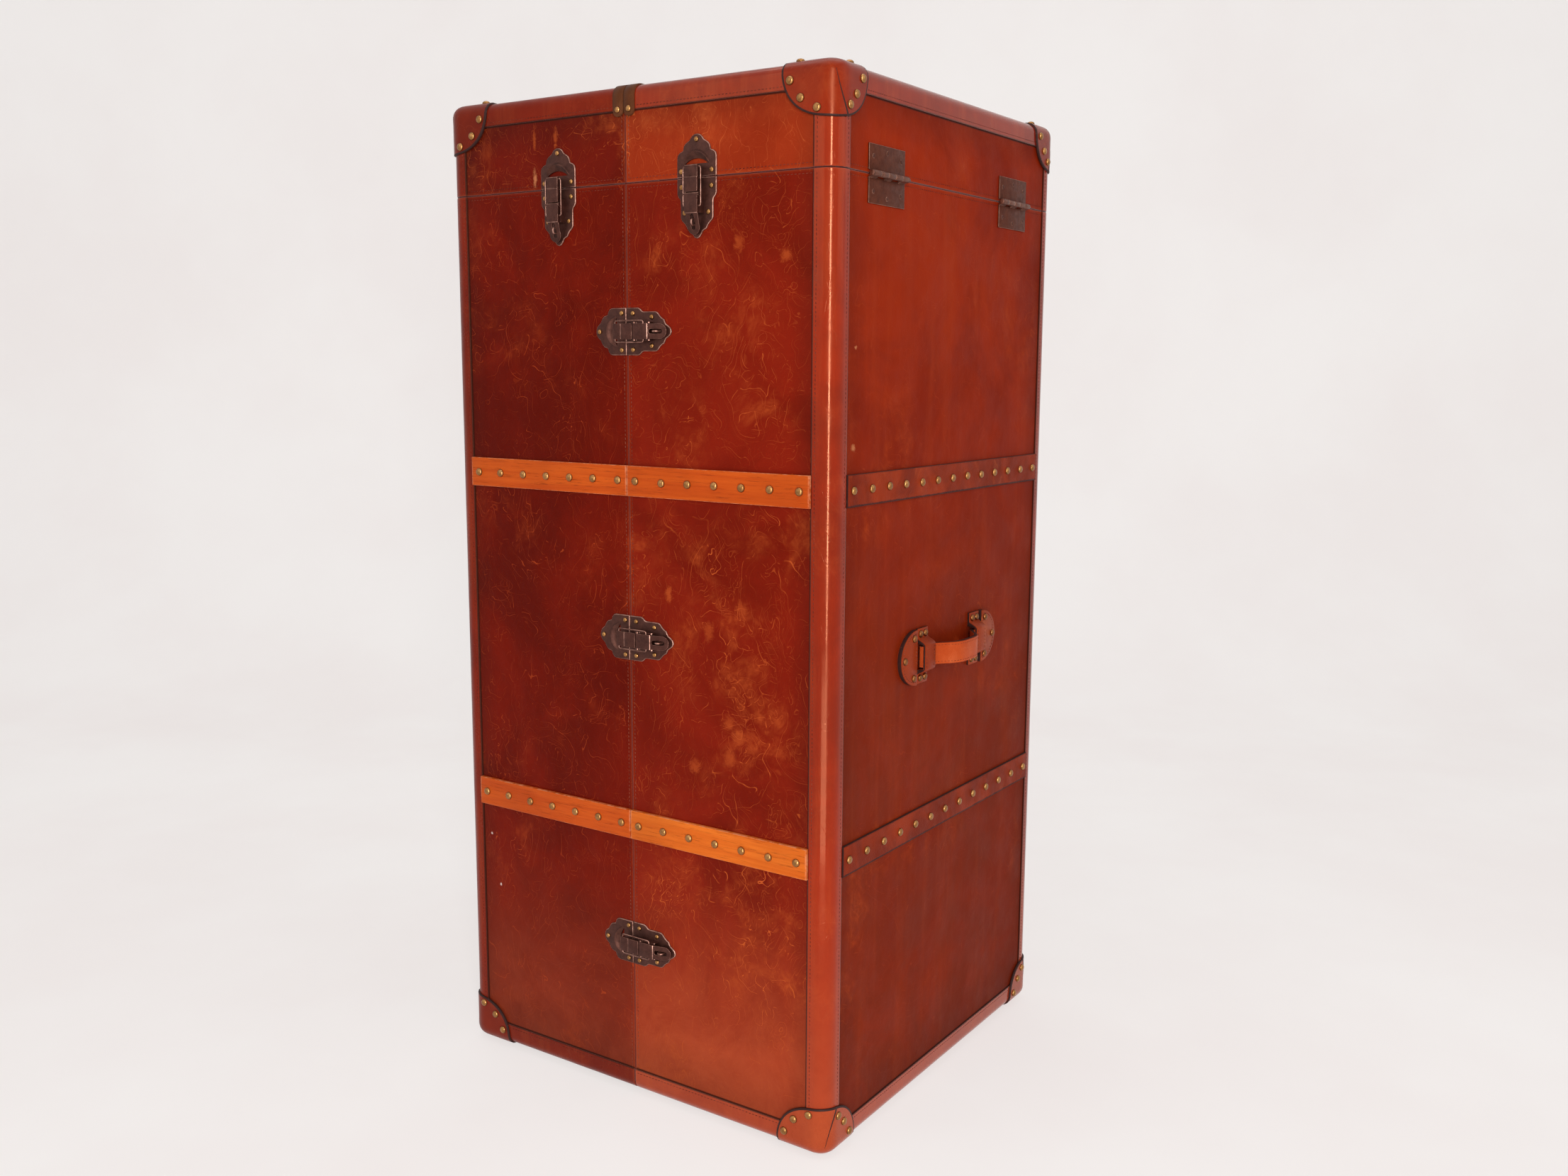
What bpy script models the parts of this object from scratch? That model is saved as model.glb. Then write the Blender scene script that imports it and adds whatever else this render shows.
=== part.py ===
"""Standing bar trunk that opens like a book. Metres, +Z up, the front faces -Y.

Two leather-covered halves are hinged up the back, and each has a lid hinged on its outer side.
Draw latches on the front hold the lids down and the halves together.
"""

import math

import bmesh
import bpy

# Case: outer size over the bindings, and how it is made up.
WIDTH = 0.553
DEPTH = 0.534
HEIGHT = 1.184
LID_HEIGHT = 0.105
WALL = 0.012
EDGE_ROUND = 0.020
RIM_ROUND = 0.012
BINDING = 0.027
RELIEF = 0.0015
SEAM = 0.0008
GAP = 0.0003
RUNNER_HEIGHT = 0.006
RUNNER_WIDTH = 0.030
EDGE_STEPS = 5
RIM_STEPS = 3

# Trim: slats on the front, straps on the sides, caps on the corners, tabs at the top.
BAND_WIDTH = 0.035
UPPER_BAND_DROP = 0.331
LOWER_BAND_RISE = 0.339
SLAT_THICK = 0.005
SLAT_NAILS = 7
STRAP_THICK = 0.0034
STRAP_NAILS = 13
NAIL_MARGIN = 0.0125
NAIL_RADIUS = 0.0048
NAIL_RISE = 0.0032
NAIL_SIDES = 6
CAP_THICK = 0.0022
CAP_ACROSS = 0.066
CAP_ALONG = 0.058
CAP_DOWN = 0.056
CAP_FULLNESS = 0.8
TAB_WIDTH = 0.0150
TAB_DROP = 0.0335
TAB_LAP = 0.024
TAB_THICK = 0.0018

# Hinges: lids on the outer sides, halves up the back.
FRONT_LID_HINGE = 0.1025
REAR_LID_HINGE = 0.119
LID_HINGE_LENGTH = 0.076
LID_HINGE_LEAF = 0.0305
LID_HINGE_BARREL = 0.0033
LID_AXIS = 0.0042
LID_KNUCKLES = 5
BACK_HINGE_LEAF = 0.024
BACK_HINGE_BARREL = 0.0035
BACK_AXIS = 0.0057
BACK_KNUCKLES = 9
LEAF_THICK = 0.0016
KNUCKLE_GAP = 0.0005

# Draw latches: along the latch from the seam, across it, and out from the leather.
LID_LATCH_PLACE = 0.1001
TOP_LATCH_DROP = 0.1626
MIDDLE_LATCH_RISE = 0.021
LOW_LATCH_RISE = 0.190
CATCH_LENGTH = 0.0453
PLATE_LENGTH = 0.0643
PLATE_HALF = 0.0265
PLATE_THICK = 0.0016
RIVET_RADIUS = 0.0028
RIVET_RISE = 0.0018
HOOD_TOP = 0.0060
LEVER_HALF = 0.0086
LEVER_RISE = 0.0088
LEVER_THICK = 0.0038
LEVER_SHARE = 0.5988
TONGUE_THICK = 0.0017
TONGUE_SLOPE = 0.24
PIVOT_PLACE = 0.0185
PIVOT_RADIUS = 0.0010
BAIL_RADIUS = 0.0009
PIN_CLEAR = 0.0002
WIRE_CLEAR = 0.0006
HOOD_CLEAR = 0.0042
HOOK_SHORT = 0.0075
HOOK_THICK = 0.0030
EAR_THICK = 0.0014
EAR_REACH = 0.006
STAPLE_SHARE = 0.735
STAPLE_HALF = 0.0045
STAPLE_EYE = 0.0024
STAPLE_THICK = 0.0024
SLOT_CLEAR = 0.0016
SLOT_REACH = 0.0055

# Handle on each side.
HANDLE_SPAN = 0.167
HANDLE_END = 0.038
HANDLE_HALF = 0.033
HANDLE_PLATE = 0.006
GRIP_HALF = 0.013
GRIP_THICK = 0.006
GRIP_BOW = 0.027
LOOP_WIDTH = 0.025
LOOP_INSET = 0.004
LOOP_THICK = 0.0034

# Inside: boards, rail, drawer and hanging rails for stemmed glasses.
BOARD = 0.012
COUNTER_DROP = 0.004
LEFT_SHELF = 0.402
RIGHT_SHELF = 0.438
SETBACK = 0.006
RAIL_RADIUS = 0.005
RAIL_RISE = 0.11
DRAWER_SIDE = 0.055
DRAWER_HEIGHT = 0.130
DRAWER_WALL = 0.008
GUIDE_WIDTH = 0.014
GUIDE_HEIGHT = 0.022
NOTCH_RADIUS = 0.028
GLASS_PITCH = 0.090
GLASS_SLOT = 0.026
GLASS_WEB = 0.010
GLASS_DROP = 0.026
GLASS_LIP = 0.005

HALF_W = WIDTH / 2
HALF_D = DEPTH / 2
CASE_Z = RUNNER_HEIGHT
TOP_Z = CASE_Z + HEIGHT
SEAM_Z = TOP_Z - LID_HEIGHT
FRONT_Y = -HALF_D + RELIEF
BACK_Y = HALF_D - RELIEF
SIDE_X = HALF_W - RELIEF
INNER_X = HALF_W - WALL
INNER_Y = HALF_D - WALL
PAST = 0.010
UPPER_BAND = SEAM_Z - UPPER_BAND_DROP
LOWER_BAND = CASE_Z + LOWER_BAND_RISE
BAND_MIDDLE = (UPPER_BAND + LOWER_BAND) / 2
CENTRE_LATCHES = {
    "top": SEAM_Z - TOP_LATCH_DROP,
    "middle": BAND_MIDDLE + MIDDLE_LATCH_RISE,
    "low": CASE_Z + LOW_LATCH_RISE,
}
SWING = (0.0, HALF_D + BACK_AXIS, 0.0)
# Lever, bail and hook of a latch: the pivot and the bail run through the middle of the lever.
# The staple stands out as far as the lever.
STAPLE_TOP = LEVER_RISE + LEVER_THICK
LEVER_END = LEVER_SHARE * PLATE_LENGTH
PIVOT = (PIVOT_PLACE, LEVER_RISE + LEVER_THICK / 2)
BAIL = (LEVER_END - 2 * LEVER_THICK, PIVOT[1])
BAIL_HALF = LEVER_HALF + GAP + EAR_THICK + WIRE_CLEAR + BAIL_RADIUS
HOOD_HALF = BAIL_HALF + BAIL_RADIUS + HOOD_CLEAR
DRAWER_HALF = INNER_Y - DRAWER_SIDE

MATERIALS = {
    "leather": ((0.235, 0.030, 0.014), 0.38, 0.0),
    "strap_leather": ((0.200, 0.024, 0.012), 0.42, 0.0),
    "cap_leather": ((0.290, 0.045, 0.020), 0.36, 0.0),
    "tab_leather": ((0.080, 0.026, 0.012), 0.55, 0.0),
    "grip_leather": ((0.420, 0.085, 0.028), 0.42, 0.0),
    "slat_wood": ((0.560, 0.110, 0.016), 0.40, 0.0),
    "board_wood": ((0.200, 0.070, 0.026), 0.45, 0.0),
    "bronze": ((0.075, 0.038, 0.030), 0.40, 0.9),
    "brass": ((0.400, 0.220, 0.085), 0.35, 1.0),
}


def loft(rings):
    """Closed solid through rings of the same number of points."""
    count = len(rings[0])
    points = [point for ring in rings for point in ring]
    faces = [list(range(count)), list(range(len(points) - count, len(points)))]
    for level in range(len(rings) - 1):
        low = level * count
        high = low + count
        for i in range(count):
            j = (i + 1) % count
            faces.append([low + i, low + j, high + j, high + i])
    return points, faces


def merged(*shapes):
    """Several separate solids as one set of points and faces."""
    points = []
    faces = []
    for some_points, some_faces in shapes:
        start = len(points)
        points.extend(some_points)
        faces.extend([start + i for i in face] for face in some_faces)
    return points, faces


def straight(a, b, c):
    return (a, b, c)


def prism(outline, low, high, place=straight):
    """Outline in the first two directions of place, run along the third."""
    return loft([[place(a, b, c) for a, b in outline] for c in (low, high)])


def box(x, y, z, place=straight):
    outline = [(x[0], y[0]), (x[1], y[0]), (x[1], y[1]), (x[0], y[1])]
    return prism(outline, z[0], z[1], place)


def circle(radius, sides, centre=(0.0, 0.0)):
    turns = [2 * math.pi * (i + 0.5) / sides for i in range(sides)]
    return [(centre[0] + radius * math.cos(t), centre[1] + radius * math.sin(t)) for t in turns]


def arc(centre, radius, start, end, steps):
    """Points on a circle or an ellipse, from one angle to another in degrees."""
    wide, high = radius if isinstance(radius, tuple) else (radius, radius)
    turns = [math.radians(start + (end - start) * i / steps) for i in range(steps + 1)]
    return [(centre[0] + wide * math.cos(t), centre[1] + high * math.sin(t)) for t in turns]


def domes(spots, surface, radius, rise, place):
    """Nail heads that stand on a surface and reach a little way into it."""
    levels = [(radius, surface - 0.3 * rise), (radius, surface + 0.25 * rise)]
    levels.append((0.5 * radius, surface + rise))
    shapes = []
    for spot in spots:
        rings = []
        for size, height in levels:
            rings.append([place(a, b, height) for a, b in circle(size, NAIL_SIDES, spot)])
        shapes.append(loft(rings))
    return merged(*shapes)


def wire(path, height, radius, sides, place):
    """Bent wire along a level path, mitred at its corners."""
    rings = []
    for i, point in enumerate(path):
        runs = []
        for first, last in ((i - 1, i), (i, i + 1)):
            if first >= 0 and last < len(path):
                run = (path[last][0] - path[first][0], path[last][1] - path[first][1])
                size = math.hypot(*run)
                runs.append((run[0] / size, run[1] / size))
        along = (runs[0][0] + runs[-1][0], runs[0][1] + runs[-1][1])
        size = math.hypot(*along)
        across = (-along[1] / size, along[0] / size)
        mitre = abs(across[0] * -runs[0][1] + across[1] * runs[0][0])
        ring = []
        for a, b in circle(radius, sides):
            wide = a / mitre
            ring.append(place(point[0] + across[0] * wide, point[1] + across[1] * wide, height + b))
        rings.append(ring)
    return loft(rings)


def scratch(shape):
    """Object of a shape, with its faces turned outwards."""
    mesh = bpy.data.meshes.new("scratch")
    mesh.from_pydata(shape[0], [], shape[1])
    work = bmesh.new()
    work.from_mesh(mesh)
    bmesh.ops.recalc_face_normals(work, faces=work.faces)
    work.to_mesh(mesh)
    work.free()
    made = bpy.data.objects.new("scratch", mesh)
    bpy.context.scene.collection.objects.link(made)
    return made


def combine(body, shape, operation):
    """Joins a shape to a body, cuts it out, or keeps what they share."""
    tool = scratch(shape)
    modifier = body.modifiers.new("combine", "BOOLEAN")
    modifier.operation = operation
    modifier.solver = "EXACT"
    modifier.object = tool
    bpy.context.view_layer.update()
    graph = bpy.context.evaluated_depsgraph_get()
    mesh = bpy.data.meshes.new_from_object(body.evaluated_get(graph))
    body.modifiers.clear()
    body.data = mesh
    bpy.data.objects.remove(tool)


def material(name):
    found = bpy.data.materials.get(name)
    if found:
        return found
    colour, roughness, metallic = MATERIALS[name]
    made = bpy.data.materials.new(name)
    made.use_nodes = True
    shader = made.node_tree.nodes["Principled BSDF"]
    shader.inputs["Base Color"].default_value = (*colour, 1.0)
    shader.inputs["Roughness"].default_value = roughness
    shader.inputs["Metallic"].default_value = metallic
    return made


def piece(name, slot, solids, cutters=(), within=None, origin=(0.0, 0.0, 0.0)):
    """One node: its solids joined, its cutters taken out, and its origin on the axis it turns about."""
    body = scratch(solids[0])
    for shape in solids[1:]:
        combine(body, shape, "UNION")
    for shape in cutters:
        combine(body, shape, "DIFFERENCE")
    if within:
        combine(body, within, "INTERSECT")
    work = bmesh.new()
    work.from_mesh(body.data)
    bmesh.ops.remove_doubles(work, verts=work.verts, dist=0.000001)
    bmesh.ops.translate(work, verts=work.verts, vec=[-value for value in origin])
    work.to_mesh(body.data)
    work.free()
    body.location = origin
    body.name = name
    body.data.name = name
    body.data.materials.clear()
    body.data.materials.append(material(slot))


def spread(low, high, count):
    return [low + (high - low) * i / (count - 1) for i in range(count)]


def rim_levels(face, way):
    """Insets and heights round a rim, from the flat face to the upright wall."""
    levels = []
    for i in range(RIM_STEPS + 1):
        turn = math.radians(90 * i / RIM_STEPS)
        inset = RIM_ROUND * (1 - math.sin(turn))
        levels.append((inset, face + way * RIM_ROUND * (1 - math.cos(turn))))
    return levels


def half_block(side, levels):
    """Half of the case: square at the seam, round at its two outer edges."""
    rings = []
    for inset, height in levels:
        outline = [(SEAM / 2, -HALF_D + inset)]
        for way, start in ((-1, -90), (1, 0)):
            centre = (HALF_W - EDGE_ROUND, way * (HALF_D - EDGE_ROUND))
            outline += arc(centre, EDGE_ROUND - inset, start, start + 90, EDGE_STEPS)
        outline.append((SEAM / 2, HALF_D - inset))
        rings.append([(side * x, y, height) for x, y in outline])
    return loft(rings)


def panel_cuts(side, low, high):
    """Shallow recesses that leave the bindings standing proud round the panels."""
    across = (-side * PAST, side * (HALF_W - BINDING))
    along = (-HALF_D + BINDING, HALF_D - BINDING)
    front = box(across, (-HALF_D - PAST, FRONT_Y), (low, high))
    back = box(across, (BACK_Y, HALF_D + PAST), (low, high))
    outer = box((side * SIDE_X, side * (HALF_W + PAST)), along, (low, high))
    return front, back, outer


def case(name, side, origin):
    block = half_block(side, rim_levels(CASE_Z, 1) + [(0.0, SEAM_Z - SEAM / 2)])
    runners = []
    for way in (-1, 1):
        y = way * (HALF_D - 2 * RUNNER_WIDTH)
        span = (side * RUNNER_WIDTH, side * (HALF_W - 2 * RUNNER_WIDTH))
        runners.append(box(span, (y - RUNNER_WIDTH / 2, y + RUNNER_WIDTH / 2), (0.0, CASE_Z + WALL / 2)))
    hollow = box((-side * PAST, side * INNER_X), (-INNER_Y, INNER_Y), (CASE_Z + WALL, SEAM_Z + PAST))
    cuts = panel_cuts(side, CASE_Z + BINDING, SEAM_Z + PAST)
    piece(name, "leather", [block, merged(*runners)], [merged(hollow, *cuts)], origin=origin)


def lid(name, side, origin):
    block = half_block(side, [(0.0, SEAM_Z + SEAM / 2)] + rim_levels(TOP_Z, -1)[::-1])
    inside = (side * (SEAM / 2 + WALL), side * INNER_X)
    hollow = box(inside, (-INNER_Y, INNER_Y), (SEAM_Z - PAST, TOP_Z - WALL))
    cuts = panel_cuts(side, SEAM_Z - PAST, TOP_Z - BINDING)
    across = (-side * PAST, side * (HALF_W - BINDING))
    crown = box(across, (-HALF_D + BINDING, HALF_D - BINDING), (TOP_Z - RELIEF, TOP_Z + PAST))
    piece(name, "leather", [block], [merged(hollow, crown, *cuts)], origin=origin)


def corner_block(grown, reach, place):
    """Corner of the case grown outwards, given as distances along its three edges."""
    rings = []
    rim = RIM_ROUND + grown
    centre = (HALF_W - EDGE_ROUND, HALF_D - EDGE_ROUND)
    levels = [(0.0, TOP_Z - reach)]
    for i in range(RIM_STEPS + 1):
        turn = math.radians(90 * i / RIM_STEPS)
        levels.append((rim * (1 - math.cos(turn)), TOP_Z + grown - rim * (1 - math.sin(turn))))
    for inset, height in levels:
        outer = arc(centre, EDGE_ROUND + grown - inset, 0, 90, EDGE_STEPS)
        outline = [(HALF_W - reach, HALF_D - reach), (HALF_W + grown - inset, HALF_D - reach), *outer]
        outline.append((HALF_W - reach, HALF_D + grown - inset))
        rings.append([place(x, y, height) for x, y in outline])
    return loft(rings)


def fuller(value):
    """Makes a round outline a little squarer."""
    return math.copysign(abs(value) ** CAP_FULLNESS, value)


def corner_cap(name, side, end, top, origin):
    """Leather cap over one corner, cut to a round outline on each face."""

    def place(x, y, z):
        return (side * x, end * y, z if top else CASE_Z + TOP_Z - z)

    reach = 1.3 * max(CAP_ACROSS, CAP_ALONG, CAP_DOWN)
    outside = corner_block(GAP + CAP_THICK, reach, place)
    inside = corner_block(GAP, reach + PAST, place)
    rings = []
    for low in spread(-87.5, 87.5, 15):
        size = fuller(math.cos(math.radians(low)))
        height = TOP_Z + CAP_DOWN * fuller(math.sin(math.radians(low)))
        ring = []
        for a, b in arc((0.0, 0.0), 1.0, 0, 345, 23):
            x = HALF_W + CAP_ACROSS * size * fuller(a)
            ring.append(place(x, HALF_D + CAP_ALONG * size * fuller(b), height))
        rings.append(ring)
    piece(name, "cap_leather", [outside], [inside], loft(rings), origin)


def slat(name, side, height, origin):
    def place(a, b, c):
        return (side * a, FRONT_Y - c, height + b)

    inner = SEAM / 2
    outer = HALF_W - BINDING - GAP
    wide = (-BAND_WIDTH / 2, BAND_WIDTH / 2)
    plank = box((inner, outer), wide, (GAP, GAP + SLAT_THICK), place)
    spots = [(a, 0.0) for a in spread(inner + NAIL_MARGIN, outer - NAIL_MARGIN, SLAT_NAILS)]
    nails = domes(spots, GAP + SLAT_THICK, NAIL_RADIUS, NAIL_RISE, place)
    piece(name, "slat_wood", [plank, nails], origin=origin)


def strap(name, side, height, origin):
    def place(a, b, c):
        return (side * (SIDE_X + c), a, height + b)

    end = HALF_D - BINDING - GAP
    wide = (-BAND_WIDTH / 2, BAND_WIDTH / 2)
    band = box((-end, end), wide, (GAP, GAP + STRAP_THICK), place)
    spots = [(a, 0.0) for a in spread(-end + NAIL_MARGIN, end - NAIL_MARGIN, STRAP_NAILS)]
    nails = domes(spots, GAP + STRAP_THICK, NAIL_RADIUS, NAIL_RISE, place)
    piece(name, "strap_leather", [band, nails], origin=origin)


def tab(name, side, origin):
    """Leather tab that laps over the top front edge beside the seam."""

    def contour(out):
        points = [(-HALF_D - out, TOP_Z - TAB_DROP + TAB_WIDTH / 2)]
        centre = (-HALF_D + RIM_ROUND, TOP_Z - RIM_ROUND)
        points += arc(centre, RIM_ROUND + out, 180, 90, RIM_STEPS)
        points.append((-HALF_D + TAB_LAP, TOP_Z + out))
        return points

    def place(a, b, c):
        return (side * c, a, b)

    inner = SEAM / 2
    profile = contour(GAP) + contour(GAP + TAB_THICK)[::-1]
    strip = prism(profile, inner, inner + TAB_WIDTH, place)
    middle = (inner + TAB_WIDTH / 2, TOP_Z - TAB_DROP + TAB_WIDTH / 2)
    outline = arc(middle, TAB_WIDTH / 2 - GAP, 180, 360, 8)
    outline += [(x, z + PAST / 2) for x, z in (outline[-1], outline[0])]
    face = -HALF_D - GAP

    def upright(a, b, c):
        return (side * a, c, b)

    end = prism(outline, face - TAB_THICK + GAP / 3, face - GAP / 3, upright)
    piece(name, "tab_leather", [strip, end], origin=origin)


def hinge(names, length, leaf, barrel, rise, knuckles, place, origin):
    """Butt hinge: the first leaf carries the pin, the second turns on it."""
    clear = barrel + 2 * GAP
    step = length / knuckles
    pin = 0.42 * barrel
    bore = 0.55 * barrel
    seat = (-length / 2, length / 2)
    for index, name in enumerate(names):
        way = (-1, 1)[index]

        def turned(b, c, a, way=way):
            return place(a, way * b, c)

        solids = [box((clear, leaf), (GAP, GAP + LEAF_THICK), seat, turned)]
        webs = []
        rolls = []
        web = [
            (0.25 * barrel, rise - 0.75 * barrel),
            (0.25 * barrel, rise - 0.2 * barrel),
            (0.9 * barrel, rise),
            (clear + LEAF_THICK, GAP + 0.8 * LEAF_THICK),
            (clear + LEAF_THICK, GAP + 0.2 * LEAF_THICK),
            (clear - GAP, GAP + 0.2 * LEAF_THICK),
        ]
        for i in range(index, knuckles, 2):
            low = seat[0] + i * step + KNUCKLE_GAP / 2
            high = low + step - KNUCKLE_GAP
            webs.append(prism(web, low + KNUCKLE_GAP, high - KNUCKLE_GAP, turned))
            rolls.append(prism(circle(barrel, 12, (0.0, rise)), low, high, turned))
        solids += [merged(*webs), merged(*rolls)]
        cutters = []
        if index == 0:
            run = (seat[0] + step / 4, seat[1] - step / 4)
            solids.append(prism(circle(pin, 12, (0.0, rise)), *run, turned))
        else:
            cutters.append(prism(circle(bore, 12, (0.0, rise)), seat[0], seat[1], turned))
        piece(name, "bronze", solids, cutters, origin=origin[index])


def mirrored(outline):
    """Outline of one edge, from the seam to the tip, completed on the other edge."""
    return outline + [(u, -v) for u, v in outline[::-1] if v]


def catch_outline():
    shares = ((0.46, 1.0), (0.54, 0.96), (0.60, 0.85), (0.62, 0.71), (0.74, 0.65), (0.80, 0.56))
    shares += ((0.845, 0.42), (0.86, 0.35), (0.96, 0.22), (0.99, 0.11), (1.0, 0.0))
    edge = [(-SEAM / 2, PLATE_HALF)]
    edge += [(-CATCH_LENGTH * u, PLATE_HALF * v) for u, v in shares]
    return mirrored(edge)


def plate_outline():
    shares = ((0.265, 1.0), (0.31, 0.94), (0.35, 0.85), (0.39, 0.83), (0.65, 0.83), (0.70, 0.77))
    shares += ((0.755, 0.62), (0.84, 0.49), (0.86, 0.37), (0.88, 0.30), (0.94, 0.22), (0.98, 0.13))
    shares += ((1.0, 0.0),)
    edge = [(SEAM / 2, PLATE_HALF)]
    edge += [(PLATE_LENGTH * u, PLATE_HALF * v) for u, v in shares]
    return mirrored(edge)


def bow(tip, wide, middle, steps):
    """Arc through two tips and the middle of a crescent's edge."""
    sag = tip - middle
    radius = (wide * wide + sag * sag) / (2 * sag)
    centre = middle + radius
    end = math.degrees(math.asin(wide / radius))
    end = end if centre > tip else 180 - end
    return arc((centre, 0.0), radius, 180 - end, 180 + end, steps)


def catch(name, place, origin):
    """Catch plate of a draw latch, with a hood over an opening in the plate."""
    top = GAP + PLATE_THICK
    tip = -0.29 * CATCH_LENGTH
    brim = 1.2 * PLATE_THICK
    plate = prism(catch_outline(), GAP, top, place)
    outer = bow(tip, HOOD_HALF, -0.60 * CATCH_LENGTH, 10)
    inner = bow(tip, HOOD_HALF - brim, -0.43 * CATCH_LENGTH, 10)
    hood = prism(outer + inner[::-1], top - GAP, HOOD_TOP, place)
    opening = prism(bow(tip, HOOD_HALF - 2 * brim, -0.42 * CATCH_LENGTH, 8), -PAST, top + GAP, place)
    spots = [(-0.875 * CATCH_LENGTH, 0.0)]
    spots += [(-0.15 * CATCH_LENGTH, way * 0.775 * PLATE_HALF) for way in (-1, 1)]
    rivets = domes(spots, top, RIVET_RADIUS, RIVET_RISE, place)
    piece(name, "bronze", [plate, hood, rivets], [opening], origin=origin)


def latch_plate(name, place, along, origin):
    """Plate of a draw latch: two side walls with round ears for the pivot, and a staple for the tongue."""
    top = GAP + PLATE_THICK
    ear_low = LEVER_HALF + GAP
    wall_top = BAIL[1] - BAIL_RADIUS - WIRE_CLEAR
    reach = (PIVOT[0] - EAR_REACH, LEVER_END)
    walls = []
    for way in (-1, 1):
        walls.append(box(reach, (top - GAP, wall_top), (way * ear_low, way * (ear_low + EAR_THICK)), along))
    near = ear_low + GAP / 2
    far = ear_low + EAR_THICK - GAP / 2
    rings = []
    for v, radius in ((-far, 2), (-near, 2), (-near, 1), (near, 1), (near, 2), (far, 2)):
        rings.append([along(u, w, v) for u, w in circle(radius * PIVOT_RADIUS, 10, PIVOT)])
    pin = loft(rings)
    middle = STAPLE_SHARE * PLATE_LENGTH
    eye = STAPLE_TOP - STAPLE_HALF
    foot = top - GAP
    staple = [(middle - STAPLE_HALF, foot), (middle - STAPLE_HALF, eye)]
    staple += arc((middle, eye), STAPLE_HALF, 150, 30, 4)
    staple += [(middle + STAPLE_HALF, eye), (middle + STAPLE_HALF, foot), (middle + STAPLE_EYE, foot)]
    staple += arc((middle, eye), STAPLE_EYE, 0, 180, 6)
    staple += [(middle - STAPLE_EYE, foot)]
    loop = prism(staple, -STAPLE_THICK / 2, STAPLE_THICK / 2, along)
    plate = prism(plate_outline(), GAP, top, place)
    spots = []
    for way in (-1, 1):
        spots.append((0.15 * PLATE_LENGTH, way * 0.76 * PLATE_HALF))
        spots.append((0.575 * PLATE_LENGTH, way * 0.60 * PLATE_HALF))
    rivets = domes(spots, top, RIVET_RADIUS, RIVET_RISE, place)
    piece(name, "bronze", [plate, merged(*walls), pin, loop, rivets], origin=origin)


def lever(name, place, along):
    """Lever that turns on the pivot, with a sloping slotted tongue that drops over the staple."""
    start = PIVOT[0] - LEVER_THICK / 2
    top = LEVER_RISE + LEVER_THICK
    chamfer = LEVER_THICK / 4
    outline = [(start, LEVER_RISE), (LEVER_END, LEVER_RISE), (LEVER_END, top)]
    outline += [(start + chamfer, top), (start, top - chamfer)]
    block = prism(outline, -LEVER_HALF, LEVER_HALF, along)
    wide = 0.96 * LEVER_HALF
    root = LEVER_END - LEVER_THICK / 2
    tail = 0.94 * PLATE_LENGTH - wide
    outline = [(root, -wide), *arc((tail, 0.0), wide, -90, 90, 8), (root, wide)]
    level = PIVOT[1] - 0.4 * TONGUE_THICK

    def sloping(u, v, w):
        return place(u, v, w - TONGUE_SLOPE * (u - root))

    tongue = prism(outline, level, level + TONGUE_THICK, sloping)
    middle = STAPLE_SHARE * PLATE_LENGTH
    narrow = STAPLE_THICK / 2 + SLOT_CLEAR
    slot = arc((middle + SLOT_REACH, 0.0), narrow, -90, 90, 6)
    slot += arc((middle - SLOT_REACH, 0.0), narrow, 90, 270, 6)
    holes = [prism(slot, 0.0, 2 * PAST, place)]
    holes.append(prism(circle(PIVOT_RADIUS + PIN_CLEAR, 10, PIVOT), -PAST, PAST, along))
    holes.append(prism(circle(BAIL_RADIUS + PIN_CLEAR, 10, BAIL), -PAST, PAST, along))
    origin = place(PIVOT[0], 0.0, PIVOT[1])
    piece(name, "bronze", [block, tongue], [merged(*holes)], origin=origin)


def hook(name, place):
    """Draw hook on a wire bail that turns in the lever; it stops short of the hood."""
    front = 0.43 * CATCH_LENGTH - HOOK_SHORT
    inset = 0.75 * LEVER_HALF
    path = [(BAIL[0], inset), (BAIL[0], BAIL_HALF), (-0.75 * front, BAIL_HALF)]
    path += [(u, -v) for u, v in path[::-1]]
    bail = wire(path, BAIL[1], BAIL_RADIUS, 8, place)
    level = PIVOT[1] - 0.55 * HOOK_THICK
    back = PIVOT[0] - LEVER_THICK / 2 - WIRE_CLEAR
    plate = box((-front, back), (-LEVER_HALF, LEVER_HALF), (level, level + HOOK_THICK), place)
    origin = place(BAIL[0], 0.0, BAIL[1])
    piece(name, "bronze", [plate, bail], origin=origin)


def latch(prefix, place, catch_origin, plate_origin):
    """One draw latch, given along it from the seam, across it, and out from the leather."""

    def along(u, w, v):
        return place(u, v, w)

    catch(prefix + "_catch", place, catch_origin)
    latch_plate(prefix + "_plate", place, along, plate_origin)
    lever(prefix + "_lever", place, along)
    hook(prefix + "_hook", place)


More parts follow.
